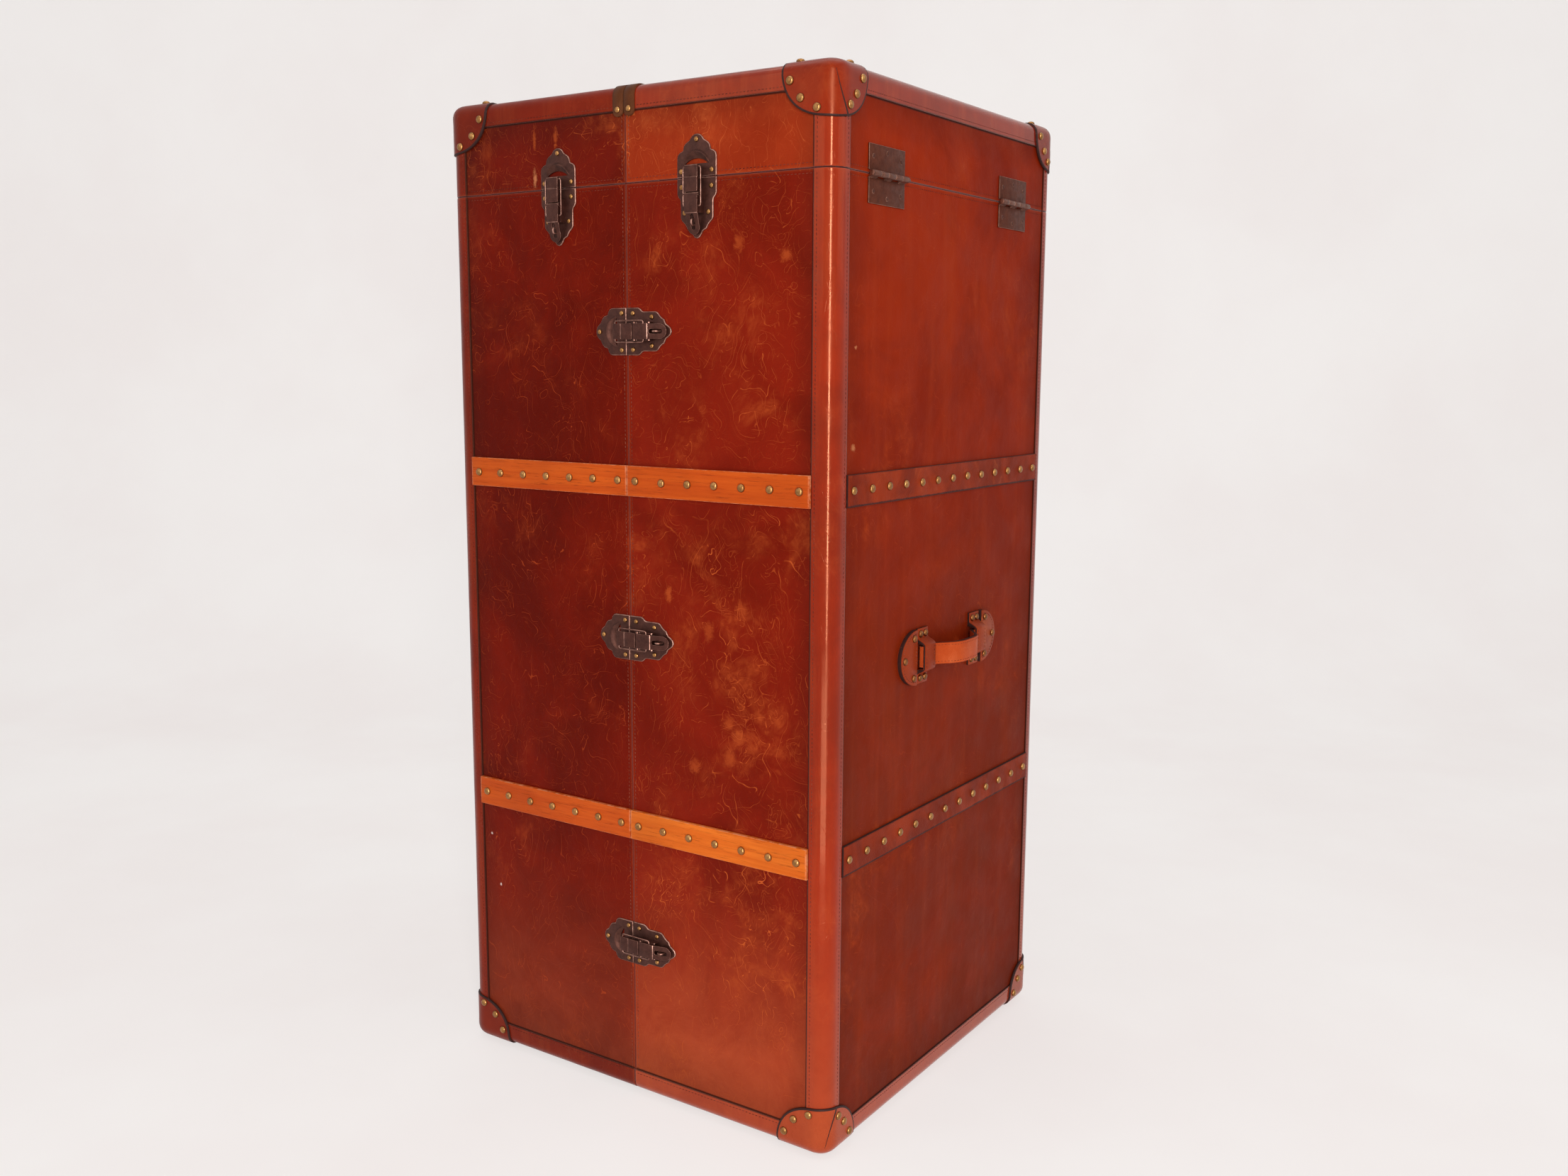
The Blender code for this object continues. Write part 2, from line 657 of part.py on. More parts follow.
def handle(name, side, origin):
    """Bowed leather grip under two loops, with half-moon ends, stitched into one."""

    def place(a, b, c):
        return (side * (SIDE_X + c), a, BAND_MIDDLE + b)

    def bent(a, c, b):
        return place(a, b, c)

    def across(b, c, a):
        return place(a, b, c)

    ends = []
    loops = []
    sunk = GRIP_THICK / 6
    thin = 0.35 * LOOP_THICK
    crest = GAP + HANDLE_PLATE + GRIP_THICK - sunk
    for way in (-1, 1):
        flat = way * HANDLE_SPAN / 2
        outline = arc((flat, 0.0), (way * HANDLE_END, HANDLE_HALF), -90, 90, 12)
        ends.append(prism(outline, GAP, GAP + HANDLE_PLATE, place))
        foot = 0.62 * HANDLE_HALF
        brow = 0.53 * HANDLE_HALF
        hat = [(-HANDLE_HALF, GAP), (-HANDLE_HALF, GAP + LOOP_THICK), (-foot, GAP + LOOP_THICK)]
        hat += [(-brow, crest + LOOP_THICK)]
        hat += [(-b, c) for b, c in hat[::-1]]
        hat += [(brow - thin, GAP), (brow - LOOP_THICK, crest)]
        hat += [(LOOP_THICK - brow, crest), (thin - brow, GAP)]
        near = flat - way * LOOP_INSET
        loops.append(prism(hat, near, near - way * LOOP_WIDTH, across))
    end = HANDLE_SPAN / 2 + 1.5 * LOOP_INSET
    flat = HANDLE_SPAN / 2 - LOOP_INSET - LOOP_WIDTH
    low = GAP + HANDLE_PLATE - sunk
    under = [(-end, low), (-flat, low)]
    for share in spread(-0.9, 0.9, 13):
        under.append((share * flat, low + (GRIP_BOW - low) * (0.5 + 0.5 * math.cos(math.pi * share))))
    under += [(flat, low), (end, low)]
    over = [(a, c + GRIP_THICK) for a, c in under]
    grip = prism(under + over[::-1], -GRIP_HALF, GRIP_HALF, bent)
    piece(name, "grip_leather", [grip, merged(*ends), merged(*loops)], origin=origin)


def board(name, side, low, origin, guides=None):
    """Level board between the walls of one half."""
    across = (side * SETBACK, side * (INNER_X - GAP))
    along = (-INNER_Y + GAP, INNER_Y - GAP)
    piece(name, "board_wood", [box(across, along, (low, low + BOARD))] + (guides or []), origin=origin)


def counter(name, side, origin, glasses):
    high = SEAM_Z - COUNTER_DROP
    across = (side * SEAM / 2, side * (INNER_X - GAP))
    solids = [box(across, (-INNER_Y + GAP, INNER_Y - GAP), (high - BOARD, high))]
    if glasses:
        webs = []
        lips = []
        run = (side * 2 * SETBACK, side * (INNER_X - 2 * SETBACK))
        low = high - BOARD - GLASS_DROP
        wide = (GLASS_PITCH - GLASS_SLOT) / 2
        steps = math.floor(2 * (INNER_Y - GAP - wide) / GLASS_PITCH)
        reach = GLASS_PITCH * steps / 2
        upright = (low + GLASS_LIP / 2, high - BOARD / 2)
        for y in spread(-reach, reach, steps + 1):
            webs.append(box(run, (y - GLASS_WEB / 2, y + GLASS_WEB / 2), upright))
            inset = (run[0] + side * GAP, run[1] - side * GAP)
            lips.append(box(inset, (y - wide, y + wide), (low, low + GLASS_LIP)))
        solids += [merged(*webs), merged(*lips)]
    piece(name, "board_wood", solids, origin=origin)


def drawer(name, low, origin):
    outer = INNER_X - 3 * SETBACK
    high = low + DRAWER_HEIGHT
    shell = box((SETBACK, outer), (-DRAWER_HALF, DRAWER_HALF), (low, high))
    inner = (SETBACK + DRAWER_WALL, outer - DRAWER_WALL)
    wide = DRAWER_HALF - DRAWER_WALL
    hollow = box(inner, (-wide, wide), (low + DRAWER_WALL, high + PAST))

    def along(y, z, x):
        return (x, y, z)

    through = (SETBACK - PAST, SETBACK + 2 * DRAWER_WALL)
    notch = prism(circle(NOTCH_RADIUS, 16, (0.0, high)), *through, along)
    piece(name, "board_wood", [shell], [hollow, notch], origin=origin)


def lid_origin(side):
    return (side * (HALF_W + LID_AXIS), 0.0, SEAM_Z)


def half_group(word, side, origin):
    """Everything that rides on one half of the trunk apart from its latches and hinges."""
    case(word + "_case", side, origin)
    for band, height in (("upper", UPPER_BAND), ("lower", LOWER_BAND)):
        slat(f"{word}_{band}_slat", side, height, origin)
        strap(f"{word}_{band}_strap", side, height, origin)
    for end, place in ((-1, "front"), (1, "rear")):
        corner_cap(f"{word}_{place}_foot_cap", side, end, False, origin)
    handle(word + "_handle", side, origin)
    counter(word + "_counter", side, origin, side > 0)


def lid_group(word, side, origin):
    """Lid with its caps and tab, the hinges to its half, and its latch."""
    turning = lid_origin(side)
    lid(word + "_lid", side, turning)
    tab(word + "_tab", side, turning)
    for end, where, inset in ((-1, "front", FRONT_LID_HINGE), (1, "rear", REAR_LID_HINGE)):
        corner_cap(f"{word}_{where}_lid_cap", side, end, True, turning)
        middle = end * (HALF_D - inset)

        def place(a, b, c, middle=middle):
            return (side * (SIDE_X + c), middle + a, SEAM_Z + b)

        names = (f"{word}_{where}_hinge_lower", f"{word}_{where}_hinge_upper")
        rise = RELIEF + LID_AXIS
        size = (LID_HINGE_LENGTH, LID_HINGE_LEAF, LID_HINGE_BARREL)
        hinge(names, *size, rise, LID_KNUCKLES, place, (origin, turning))

    def upright(u, v, w):
        return (side * LID_LATCH_PLACE + v, FRONT_Y - w, SEAM_Z - u)

    latch(word + "_lid_latch", upright, turning, origin)


def clear_scene():
    for found in list(bpy.data.objects):
        bpy.data.objects.remove(found, do_unlink=True)


def build():
    clear_scene()
    still = (0.0, 0.0, 0.0)
    for word, side, origin in (("left", -1, still), ("right", 1, SWING)):
        half_group(word, side, origin)
        lid_group(word, side, origin)

    for word, height in CENTRE_LATCHES.items():

        def level(u, v, w, height=height):
            return (u, FRONT_Y - w, height + v)

        latch(word + "_latch", level, still, SWING)

    low = CASE_Z + 2 * BINDING
    length = SEAM_Z - BINDING - low

    def back(a, b, c):
        return (b, BACK_Y + c, low + length / 2 + a)

    names = ("back_hinge_left", "back_hinge_right")
    rise = RELIEF + BACK_AXIS
    hinge(names, length, BACK_HINGE_LEAF, BACK_HINGE_BARREL, rise, BACK_KNUCKLES, back, (still, SWING))

    board("left_shelf", -1, CASE_Z + LEFT_SHELF, still)
    rail_spot = (-4 * RAIL_RADIUS, CASE_Z + WALL + RAIL_RISE)

    def level_rail(x, z, y):
        return (x, y, z)

    rail = prism(circle(RAIL_RADIUS, 12, rail_spot), -INNER_Y + GAP, INNER_Y - GAP, level_rail)
    piece("left_bottle_rail", "brass", [rail])

    low = CASE_Z + RIGHT_SHELF
    seat = low + BOARD
    guides = []
    for way in (-1, 1):
        near = way * (DRAWER_HALF + 2 * GAP)
        run = (2 * SETBACK, INNER_X - 2 * SETBACK)
        rise = (seat - BOARD / 2, seat + GUIDE_HEIGHT)
        guides.append(box(run, (near, near + way * GUIDE_WIDTH), rise))
    board("right_shelf", 1, low, SWING, [merged(*guides)])
    drawer("drawer", seat + GAP, (SETBACK, 0.0, seat))


build()
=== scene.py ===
import math
import random

import bmesh
import bpy
from mathutils import Matrix, Vector
from mathutils.geometry import tessellate_polygon


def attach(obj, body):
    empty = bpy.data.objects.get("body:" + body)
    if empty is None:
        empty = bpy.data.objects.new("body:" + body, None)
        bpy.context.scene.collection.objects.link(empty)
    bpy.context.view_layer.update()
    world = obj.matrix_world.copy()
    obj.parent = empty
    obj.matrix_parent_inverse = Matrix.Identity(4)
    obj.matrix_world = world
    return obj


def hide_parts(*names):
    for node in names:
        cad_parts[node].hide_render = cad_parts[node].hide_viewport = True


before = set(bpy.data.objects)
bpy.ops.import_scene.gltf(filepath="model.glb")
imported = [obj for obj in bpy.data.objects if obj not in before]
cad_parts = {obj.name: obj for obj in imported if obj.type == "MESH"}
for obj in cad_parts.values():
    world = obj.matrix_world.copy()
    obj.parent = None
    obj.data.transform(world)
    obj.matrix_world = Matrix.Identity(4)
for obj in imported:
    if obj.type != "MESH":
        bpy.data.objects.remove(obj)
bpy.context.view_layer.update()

random.seed(7)

# Sizes of the part, in metres, as its source states them.
WIDTH, DEPTH, HEIGHT, LID_HEIGHT = 0.553, 0.534, 1.184, 0.105
WALL, EDGE_ROUND, RIM_ROUND, BINDING = 0.012, 0.020, 0.012, 0.027
RELIEF, SEAM, GAP, CASE_Z = 0.0015, 0.0008, 0.0003, 0.006
BAND_WIDTH, SLAT_THICK, STRAP_THICK = 0.035, 0.005, 0.0034
SLAT_NAILS, STRAP_NAILS, NAIL_MARGIN = 7, 13, 0.0125
NAIL_RADIUS, NAIL_RISE = 0.0048, 0.0032
CAP_THICK, CAP_ACROSS, CAP_ALONG, CAP_DOWN, CAP_FULLNESS = 0.0022, 0.066, 0.058, 0.056, 0.8
TAB_WIDTH, TAB_DROP, TAB_LAP, TAB_THICK = 0.0150, 0.0335, 0.024, 0.0018
FRONT_LID_HINGE, REAR_LID_HINGE = 0.1025, 0.119
HINGE_LENGTH, HINGE_LEAF, HINGE_BARREL, LID_AXIS = 0.076, 0.0305, 0.0033, 0.0042
LEAF_THICK, KNUCKLES = 0.0016, 5
LID_LATCH_PLACE, PLATE_LENGTH = 0.1001, 0.0643
PLATE_HALF, PLATE_THICK, HOOD_TOP = 0.0265, 0.0016, 0.0060
LEVER_HALF, LEVER_RISE, LEVER_THICK = 0.0086, 0.0088, 0.0038
TONGUE_THICK, TONGUE_SLOPE, EAR_REACH = 0.0017, 0.24, 0.006
EAR_THICK, BAIL_RADIUS, PIVOT_RADIUS = 0.0014, 0.0009, 0.0010
HANDLE_SPAN, HANDLE_END, HANDLE_HALF, HANDLE_PLATE = 0.167, 0.038, 0.033, 0.006
GRIP_HALF, GRIP_THICK, GRIP_BOW = 0.013, 0.006, 0.027
LOOP_WIDTH, LOOP_INSET, LOOP_THICK = 0.025, 0.004, 0.0034

HALF_W, HALF_D = WIDTH / 2, DEPTH / 2
TOP_Z = CASE_Z + HEIGHT
SEAM_Z = TOP_Z - LID_HEIGHT
FRONT_Y, SIDE_X = -HALF_D + RELIEF, HALF_W - RELIEF
UPPER_BAND, LOWER_BAND = SEAM_Z - 0.331, CASE_Z + 0.339
BAND_MIDDLE = (UPPER_BAND + LOWER_BAND) / 2
CENTRE_LATCHES = {"top": SEAM_Z - 0.1626, "middle": BAND_MIDDLE + 0.021, "low": CASE_Z + 0.190}
STAPLE_TOP = LEVER_RISE + LEVER_THICK
LEVER_END = 0.5988 * PLATE_LENGTH
PIVOT = (0.0185, LEVER_RISE + LEVER_THICK / 2)
BAIL = (LEVER_END - 2 * LEVER_THICK, PIVOT[1])
BAIL_HALF = 0.0118
STAPLE_PLACE = 0.735 * PLATE_LENGTH
# The leather skin lies this far outside the solids.
SKIN = 0.00025
# Stitching: inset in the binding, gap left at the lid seam, and distance of the row beside that seam.
STITCH_INSET, SEAM_CLEAR, SEAM_ROW = 0.0042, 0.004, 0.0052
# Radius and rise of the nail heads on caps and handles, and of the rivets on latches and tabs.
CAP_NAIL, HANDLE_NAIL = (0.0047, 0.0031), (0.0043, 0.0030)
RIVET, TAB_RIVET = (0.0029, 0.0020), (0.0036, 0.0024)
# Scale, number of levels and lean of the fields whose level lines are the hair lines.
HAIR_FIELDS = ((8.0, 84.0, 0.5), (11.0, 66.0, -0.6), (16.0, 48.0, 1.2))
SIDES = (("left", -1), ("right", 1))
MATERIALS = {}


def linear(tone, dim=1.0):
    """Shader colour from the usual 0 to 255 values, dimmed by a factor."""
    shares = [value / 255 for value in tone]
    shares = [s / 12.92 if s <= 0.04045 else ((s + 0.055) / 1.055) ** 2.4 for s in shares]
    return (*[dim * share for share in shares], 1.0)


class Graph:
    """The nodes of a material or a world, written with short calls."""

    def __init__(self, owner):
        owner.use_nodes = True
        self.owner = owner
        self.tree = owner.node_tree
        self.place = self.node("TexCoord").outputs["Object"]

    def feed(self, socket, value):
        if isinstance(value, bpy.types.NodeSocket):
            self.tree.links.new(value, socket)
        else:
            socket.default_value = value

    def node(self, kind, inputs=None, **settings):
        made = self.tree.nodes.new("ShaderNode" + kind)
        for key, value in settings.items():
            setattr(made, key, value)
        for key, value in (inputs or {}).items():
            self.feed(made.inputs[key], value)
        return made

    def math(self, operation, first, second=0.0):
        return self.node("Math", {0: first, 1: second}, operation=operation).outputs[0]

    def times(self, first, *others):
        for other in others:
            first = self.math("MULTIPLY", first, other)
        return first

    def vector(self, operation, first, second=(0.0, 0.0, 0.0)):
        return self.node("VectorMath", {0: first, 1: second}, operation=operation).outputs

    def stretch(self, scale=(1.0, 1.0, 1.0), turn=(0.0, 0.0, 0.0), shift=(0.0, 0.0, 0.0)):
        inputs = {"Vector": self.place, "Location": shift, "Rotation": turn}
        inputs["Scale"] = tuple(1 / size for size in scale)
        return self.node("Mapping", inputs, vector_type="TEXTURE").outputs[0]

    def noise(self, scale, detail, rough, bend=0.0, where=None):
        inputs = {"Vector": where or self.place, "Scale": scale, "Detail": detail}
        inputs.update({"Roughness": rough, "Distortion": bend})
        return self.node("TexNoise", inputs).outputs[0]

    def ramp(self, value, low, high, start=0.0, end=1.0):
        inputs = {"Value": value, "From Min": low, "From Max": high, "To Min": start, "To Max": end}
        return self.node("MapRange", inputs, interpolation_type="SMOOTHSTEP").outputs[0]

    def pebbles(self):
        """Fine leather grain."""
        inputs = {"Vector": self.place, "Scale": 620.0}
        return self.ramp(self.node("TexVoronoi", inputs, feature="F1").outputs["Distance"], 0.1, 0.7)

    def mix(self, share, first, second):
        """Blend of two colours; a plain tuple of three holds 0 to 255 values."""
        made = self.node("Mix", data_type="RGBA", blend_type="MIX", clamp_factor=True)
        for index, value in ((0, share), (6, first), (7, second)):
            if isinstance(value, tuple) and len(value) == 3:
                value = linear(value)
            self.feed(made.inputs[index], value)
        return made.outputs[2]

    def attribute(self, name):
        return self.node("Attribute", attribute_name=name).outputs["Fac"]

    def bump(self, height, depth, before=None):
        inputs = {"Height": height, "Strength": 1.0, "Distance": depth}
        if before:
            inputs["Normal"] = before
        return self.node("Bump", inputs).outputs[0]

    def seen(self):
        """One for the rays that show the background: from the camera, mirrored or through glass."""
        rays = self.node("LightPath").outputs
        seen = self.math("MAXIMUM", rays["Is Camera Ray"], rays["Is Glossy Ray"])
        return self.math("MAXIMUM", seen, rays["Is Transmission Ray"])

    def finish(self, colour, rough, normal=None, **values):
        values.update({"Base Color": colour, "Roughness": rough})
        if normal:
            values["Normal"] = normal
        for key, value in values.items():
            self.feed(self.tree.nodes["Principled BSDF"].inputs[key.replace("_", " ")], value)
        return self.owner


def leather(name, dark, mid, light, marks=1.0, hairs=1.0, upright=0.0, rough=0.38, gloss=0.11,
            tint=(1.0, 0.40, 0.16, 1.0), grain=1.0, low=None, spots=(), clusters=()):
    """Waxed pull-up leather: cloudy colour, fine pale lines where it was bent, and a fine grain."""
    g = Graph(bpy.data.materials.new("leather_" + name))
    colour = g.mix(g.ramp(g.noise(5.5, 5.0, 0.6, 0.6), 0.34, 0.66), dark, mid)
    # Another tone lower down, full at the first height and gone at the second.
    if low:
        tone, full, gone = low
        height = g.node("SeparateXYZ", {0: g.place}).outputs["Z"]
        cloud = g.ramp(g.noise(8.0, 6.0, 0.7, 0.9), 0.32, 0.68, 0.55, 0.95)
        colour = g.mix(g.times(g.ramp(height, full, gone, 1.0, 0.0), cloud), colour, tone)
    # Brushed streaks that run up the panel.
    if upright:
        streak = g.noise(1.0, 4.0, 0.6, 0.3, g.stretch((42.0, 42.0, 3.4)))
        colour = g.mix(g.times(g.ramp(streak, 0.46, 0.72), upright), colour, light)
    # Places where the marks gather: some at random, some known.
    gather = g.ramp(g.noise(4.6, 3.0, 0.6, 0.5, g.stretch(shift=(3.1, 1.7, 0.4))), 0.46, 0.68)
    for at, radius in clusters:
        far = g.vector("DISTANCE", g.place, at)["Value"]
        gather = g.math("MAXIMUM", gather, g.ramp(far, 0.25 * radius, 1.15 * radius, 1.0, 0.0))
    smear = g.ramp(g.noise(22.0, 6.0, 0.62, 0.5), 0.42, 0.76)
    brushed = g.noise(1.0, 4.0, 0.6, 0.8, g.stretch((110.0, 110.0, 30.0), (0.6, 0.6, 0.0)))
    smear = g.times(smear, g.ramp(brushed, 0.36, 0.64, 0.4, 1.3))
    soft = g.times(gather, smear, 0.60 * marks)
    colour = g.mix(soft, colour, light)
    # Hair lines: some level lines of slow fields, in patches, left out where a field runs flat.
    lines = None
    for index, (scale, count, lean) in enumerate(HAIR_FIELDS):
        shift = (index * 2.3, index * 1.1, index * 0.7)
        where = g.stretch((1.0, 1.0, 0.55), (lean, lean, 0.0), shift)
        aside = g.vector("ADD", where, (0.0012, 0.0012, 0.0009))[0]
        field, beside = (g.times(g.noise(scale, 3.0, 0.5, 0.35, at), count) for at in (where, aside))
        steep = g.ramp(g.math("ABSOLUTE", g.math("SUBTRACT", field, beside)), 0.10, 0.30)
        line = g.ramp(g.math("PINGPONG", field, 0.5), 0.0, 0.11, 1.0, 0.0)
        level = g.node("TexWhiteNoise", {"W": g.math("ROUND", field)}, noise_dimensions="1D")
        kept = g.ramp(level.outputs["Value"], 0.38, 0.88)
        patch = g.ramp(g.noise(23.0, 4.0, 0.65, 0.4, g.stretch(shift=shift)), 0.40, 0.58)
        line = g.times(line, kept, steep, patch)
        lines = line if lines is None else g.math("MAXIMUM", lines, line)
    lines = g.times(lines, g.math("ADD", g.times(gather, 0.55), 0.45))
    colour = g.mix(g.times(lines, 0.80 * hairs), colour, light)
    # Small bright flecks inside the gathered places.
    fleck = g.ramp(g.noise(46.0, 3.0, 0.55, 0.6), 0.66, 0.76)
    colour = g.mix(g.times(fleck, gather, 0.40 * marks), colour, light)
    # Marks at known places, ragged at the edge.
    for at, size, strength, tone in spots:
        where = g.vector("DIVIDE", g.vector("SUBTRACT", g.place, at)[0], size)[0]
        far = g.vector("LENGTH", where)["Value"]
        uneven = g.times(g.math("SUBTRACT", g.noise(150.0, 6.0, 0.75, 0.8), 0.5), 2.6)
        share = g.ramp(g.math("ADD", far, uneven), 0.15, 1.1, 1.0, 0.0)
        colour = g.mix(g.times(share, strength), colour, tone)
    # Edge paint and painted shade in the step from panel to binding.
    colour = g.mix(g.times(g.attribute("edge"), 0.92), colour, (40, 18, 14))
    # Wear on the folds, with a painted highlight along them.
    colour = g.mix(g.times(g.attribute("fold"), 0.22), colour, light)
    shine = g.ramp(g.noise(24.0, 5.0, 0.6), 0.3, 0.7, rough - 0.05, rough + 0.09)
    shine = g.math("ADD", shine, g.times(soft, 0.10))
    normal = g.bump(g.pebbles(), 0.00004 * grain)
    normal = g.bump(g.noise(30.0, 3.0, 0.5), 0.0010 * grain, normal)
    normal = g.bump(lines, 0.00008, normal)
    MATERIALS[name] = g.finish(colour, shine, normal, Specular_IOR_Level=gloss, Specular_Tint=tint)


def painted_edge(name):
    """Dark edge paint of cut leather, rubbed through in places."""
    g = Graph(bpy.data.materials.new("paint_" + name))
    rub = g.ramp(g.noise(160.0, 6.0, 0.7, 0.4), 0.60, 0.74)
    colour = g.mix(g.times(rub, 0.6), (52, 29, 26), (140, 90, 74))
    normal = g.bump(g.noise(420.0, 4.0, 0.6), 0.0003)
    MATERIALS[name] = g.finish(colour, g.ramp(rub, 0.0, 1.0, 0.5, 0.66), normal, Specular_IOR_Level=0.15)


def strap_leather(name):
    """Band leather with a dark ragged border; 'across' runs from -1 to 1 over the band."""
    g = Graph(bpy.data.materials.new("leather_" + name))
    cloud = g.ramp(g.noise(14.0, 5.0, 0.6, 0.8), 0.3, 0.7)
    colour = g.mix(cloud, (108, 32, 14), (144, 49, 20))
    patch = g.ramp(g.noise(30.0, 6.0, 0.65, 1.0), 0.58, 0.78)
    colour = g.mix(g.times(patch, 0.5), colour, (176, 84, 42))
    ragged = g.times(g.math("SUBTRACT", g.noise(120.0, 5.0, 0.65), 0.5), 0.16)
    across = g.math("ADD", g.attribute("across"), ragged)
    low = g.ramp(across, -0.93, -0.84, 1.0, 0.0)
    high = g.ramp(across, 0.93, 0.97)
    end = g.ramp(g.math("ADD", g.attribute("end"), g.times(ragged, 1.5)), 0.35, 0.65)
    dark = g.math("MAXIMUM", g.math("MAXIMUM", low, end), g.times(high, 0.6))
    colour = g.mix(g.times(dark, 0.9), colour, (52, 28, 28))
    normal = g.bump(g.noise(60.0, 4.0, 0.6), 0.0006, g.bump(g.pebbles(), 0.00010))
    rough = g.ramp(g.noise(50.0, 4.0, 0.6), 0.3, 0.7, 0.36, 0.52)
    tint = (1.0, 0.5, 0.3, 1.0)
    MATERIALS[name] = g.finish(colour, rough, normal, Specular_IOR_Level=0.06, Specular_Tint=tint)


def thread(name, dark, light):
    g = Graph(bpy.data.materials.new("sewing_" + name))
    colour = g.mix(g.ramp(g.noise(35.0, 3.0, 0.6), 0.35, 0.65), dark, light)
    normal = g.bump(g.noise(1800.0, 2.0, 0.5), 0.0002)
    MATERIALS[name] = g.finish(colour, 0.7, normal, Specular_IOR_Level=0.1)


def wood(name, dark, mid, pale, along, fine=1.0, rough=0.36):
    """Straight-grained wood with pores; along is the stretch that lays the grain."""
    g = Graph(bpy.data.materials.new("wood_" + name))
    where = g.stretch(along)
    colour = g.mix(g.ramp(g.noise(1.0, 5.0, 0.6, 1.2, where), 0.30, 0.70), mid, pale)
    pores = g.noise(fine * 7.0, 6.0, 0.75, 0.2, where)
    colour = g.mix(g.times(g.ramp(pores, 0.53, 0.68), 0.75), colour, dark)
    cloud = g.ramp(g.noise(9.0, 3.0, 0.5), 0.35, 0.7)
    colour = g.mix(g.times(cloud, 0.25), colour, dark)
    rub = g.times(g.attribute("worn"), g.ramp(g.noise(150.0, 5.0, 0.7), 0.38, 0.62, 0.0, 0.7))
    colour = g.mix(rub, colour, (222, 150, 112))
    shine = g.ramp(pores, 0.4, 0.7, rough, rough + 0.18)
    normal, tint = g.bump(pores, 0.00025), (1.0, 0.7, 0.5, 1.0)
    MATERIALS[name] = g.finish(colour, shine, normal, Specular_IOR_Level=0.22, Specular_Tint=tint)


def metal(name, dark, light, rough, metallic, gloss):
    """Aged metal: blotched, lightly pitted, with painted shade at the foot of a head."""
    g = Graph(bpy.data.materials.new("metal_" + name))
    blotch = g.ramp(g.noise(90.0, 5.0, 0.65, 0.5), 0.32, 0.68)
    speck = g.ramp(g.noise(420.0, 4.0, 0.7), 0.36, 0.64)
    colour = g.mix(g.math("ADD", g.times(blotch, 0.7), g.times(speck, 0.3)), dark, light)
    # Painted shade at the foot of a nail head, where the rim value is one.
    colour = g.mix(g.times(g.attribute("rim"), 0.7), colour, linear(dark, 0.35))
    shine = g.ramp(g.noise(140.0, 5.0, 0.65), 0.3, 0.7, rough - 0.07, rough + 0.10)
    normal = g.bump(g.noise(320.0, 4.0, 0.6), 0.00012)
    MATERIALS[name] = g.finish(colour, shine, normal, Metallic=metallic, Specular_IOR_Level=gloss)


def suede(name, dark, light):
    """Short-napped lining."""
    g = Graph(bpy.data.materials.new("suede_" + name))
    cloud = g.ramp(g.noise(12.0, 6.0, 0.65, 0.8), 0.3, 0.7)
    nap = g.noise(900.0, 3.0, 0.6)
    colour = g.mix(g.math("ADD", g.times(cloud, 0.6), g.times(nap, 0.4)), dark, light)
    MATERIALS[name] = g.finish(colour, 0.85, g.bump(nap, 0.0003), Sheen_Weight=0.3, Sheen_Roughness=0.4)


def front_spots(*rows):
    """Marks on the front, from place, size, strength and tone."""
    return [((x, FRONT_Y, z), (wide, 0.02, high), *rest) for x, z, wide, high, *rest in rows]


ORANGE, TAN, CHIP = (184, 82, 36), (206, 132, 86), (232, 208, 196)
WAX, POLISH = (1.0, 0.36, 0.16, 1.0), (1.0, 0.44, 0.24, 1.0)
SLAT_GRAIN, BOARD_GRAIN = (4.0, 90.0, 90.0), (30.0, 3.0, 30.0)
FRONT_SPOTS = front_spots(
    (0.215, 0.999, 0.010, 0.009, 0.50, ORANGE), (0.155, 1.015, 0.008, 0.012, 0.40, ORANGE),
    (0.057, 0.627, 0.006, 0.011, 0.55, ORANGE), (0.160, 0.620, 0.011, 0.010, 0.38, ORANGE),
    (0.114, 0.590, 0.008, 0.014, 0.38, ORANGE), (0.142, 0.488, 0.012, 0.010, 0.38, ORANGE),
    (0.155, 0.473, 0.010, 0.012, 0.42, ORANGE), (0.143, 0.448, 0.012, 0.014, 0.40, ORANGE),
    (0.093, 0.430, 0.010, 0.010, 0.40, ORANGE))
# Places on the right front, each with a radius, where the marks gather.
CLUSTERS = (
    (0.152, 0.918, 0.065), (0.190, 0.845, 0.050), (0.083, 0.826, 0.045), (0.050, 1.000, 0.035),
    (0.130, 0.570, 0.085), (0.205, 0.690, 0.045), (0.110, 0.665, 0.035), (0.170, 0.480, 0.080),
    (0.050, 0.270, 0.040), (0.200, 0.230, 0.040))
FRONT_CLUSTERS = [((x, FRONT_Y, z), radius) for x, z, radius in CLUSTERS]
LID_SPOTS = front_spots(
    (-0.137, 1.143, 0.0032, 0.015, 0.55, ORANGE), (-0.137, 1.098, 0.0034, 0.014, 0.70, TAN),
    (-0.104, 1.143, 0.0034, 0.013, 0.55, ORANGE))
LEFT_SPOTS = front_spots(
    (-0.236, 0.288, 0.0020, 0.0022, 1.0, CHIP), (-0.222, 0.222, 0.0018, 0.0024, 1.0, CHIP))
SIDE_SPOTS = [
    ((SIDE_X, -0.222, 0.905), (0.02, 0.0035, 0.0025), 0.9, TAN),
    ((SIDE_X, -0.225, 0.800), (0.02, 0.0050, 0.0040), 0.7, TAN)]
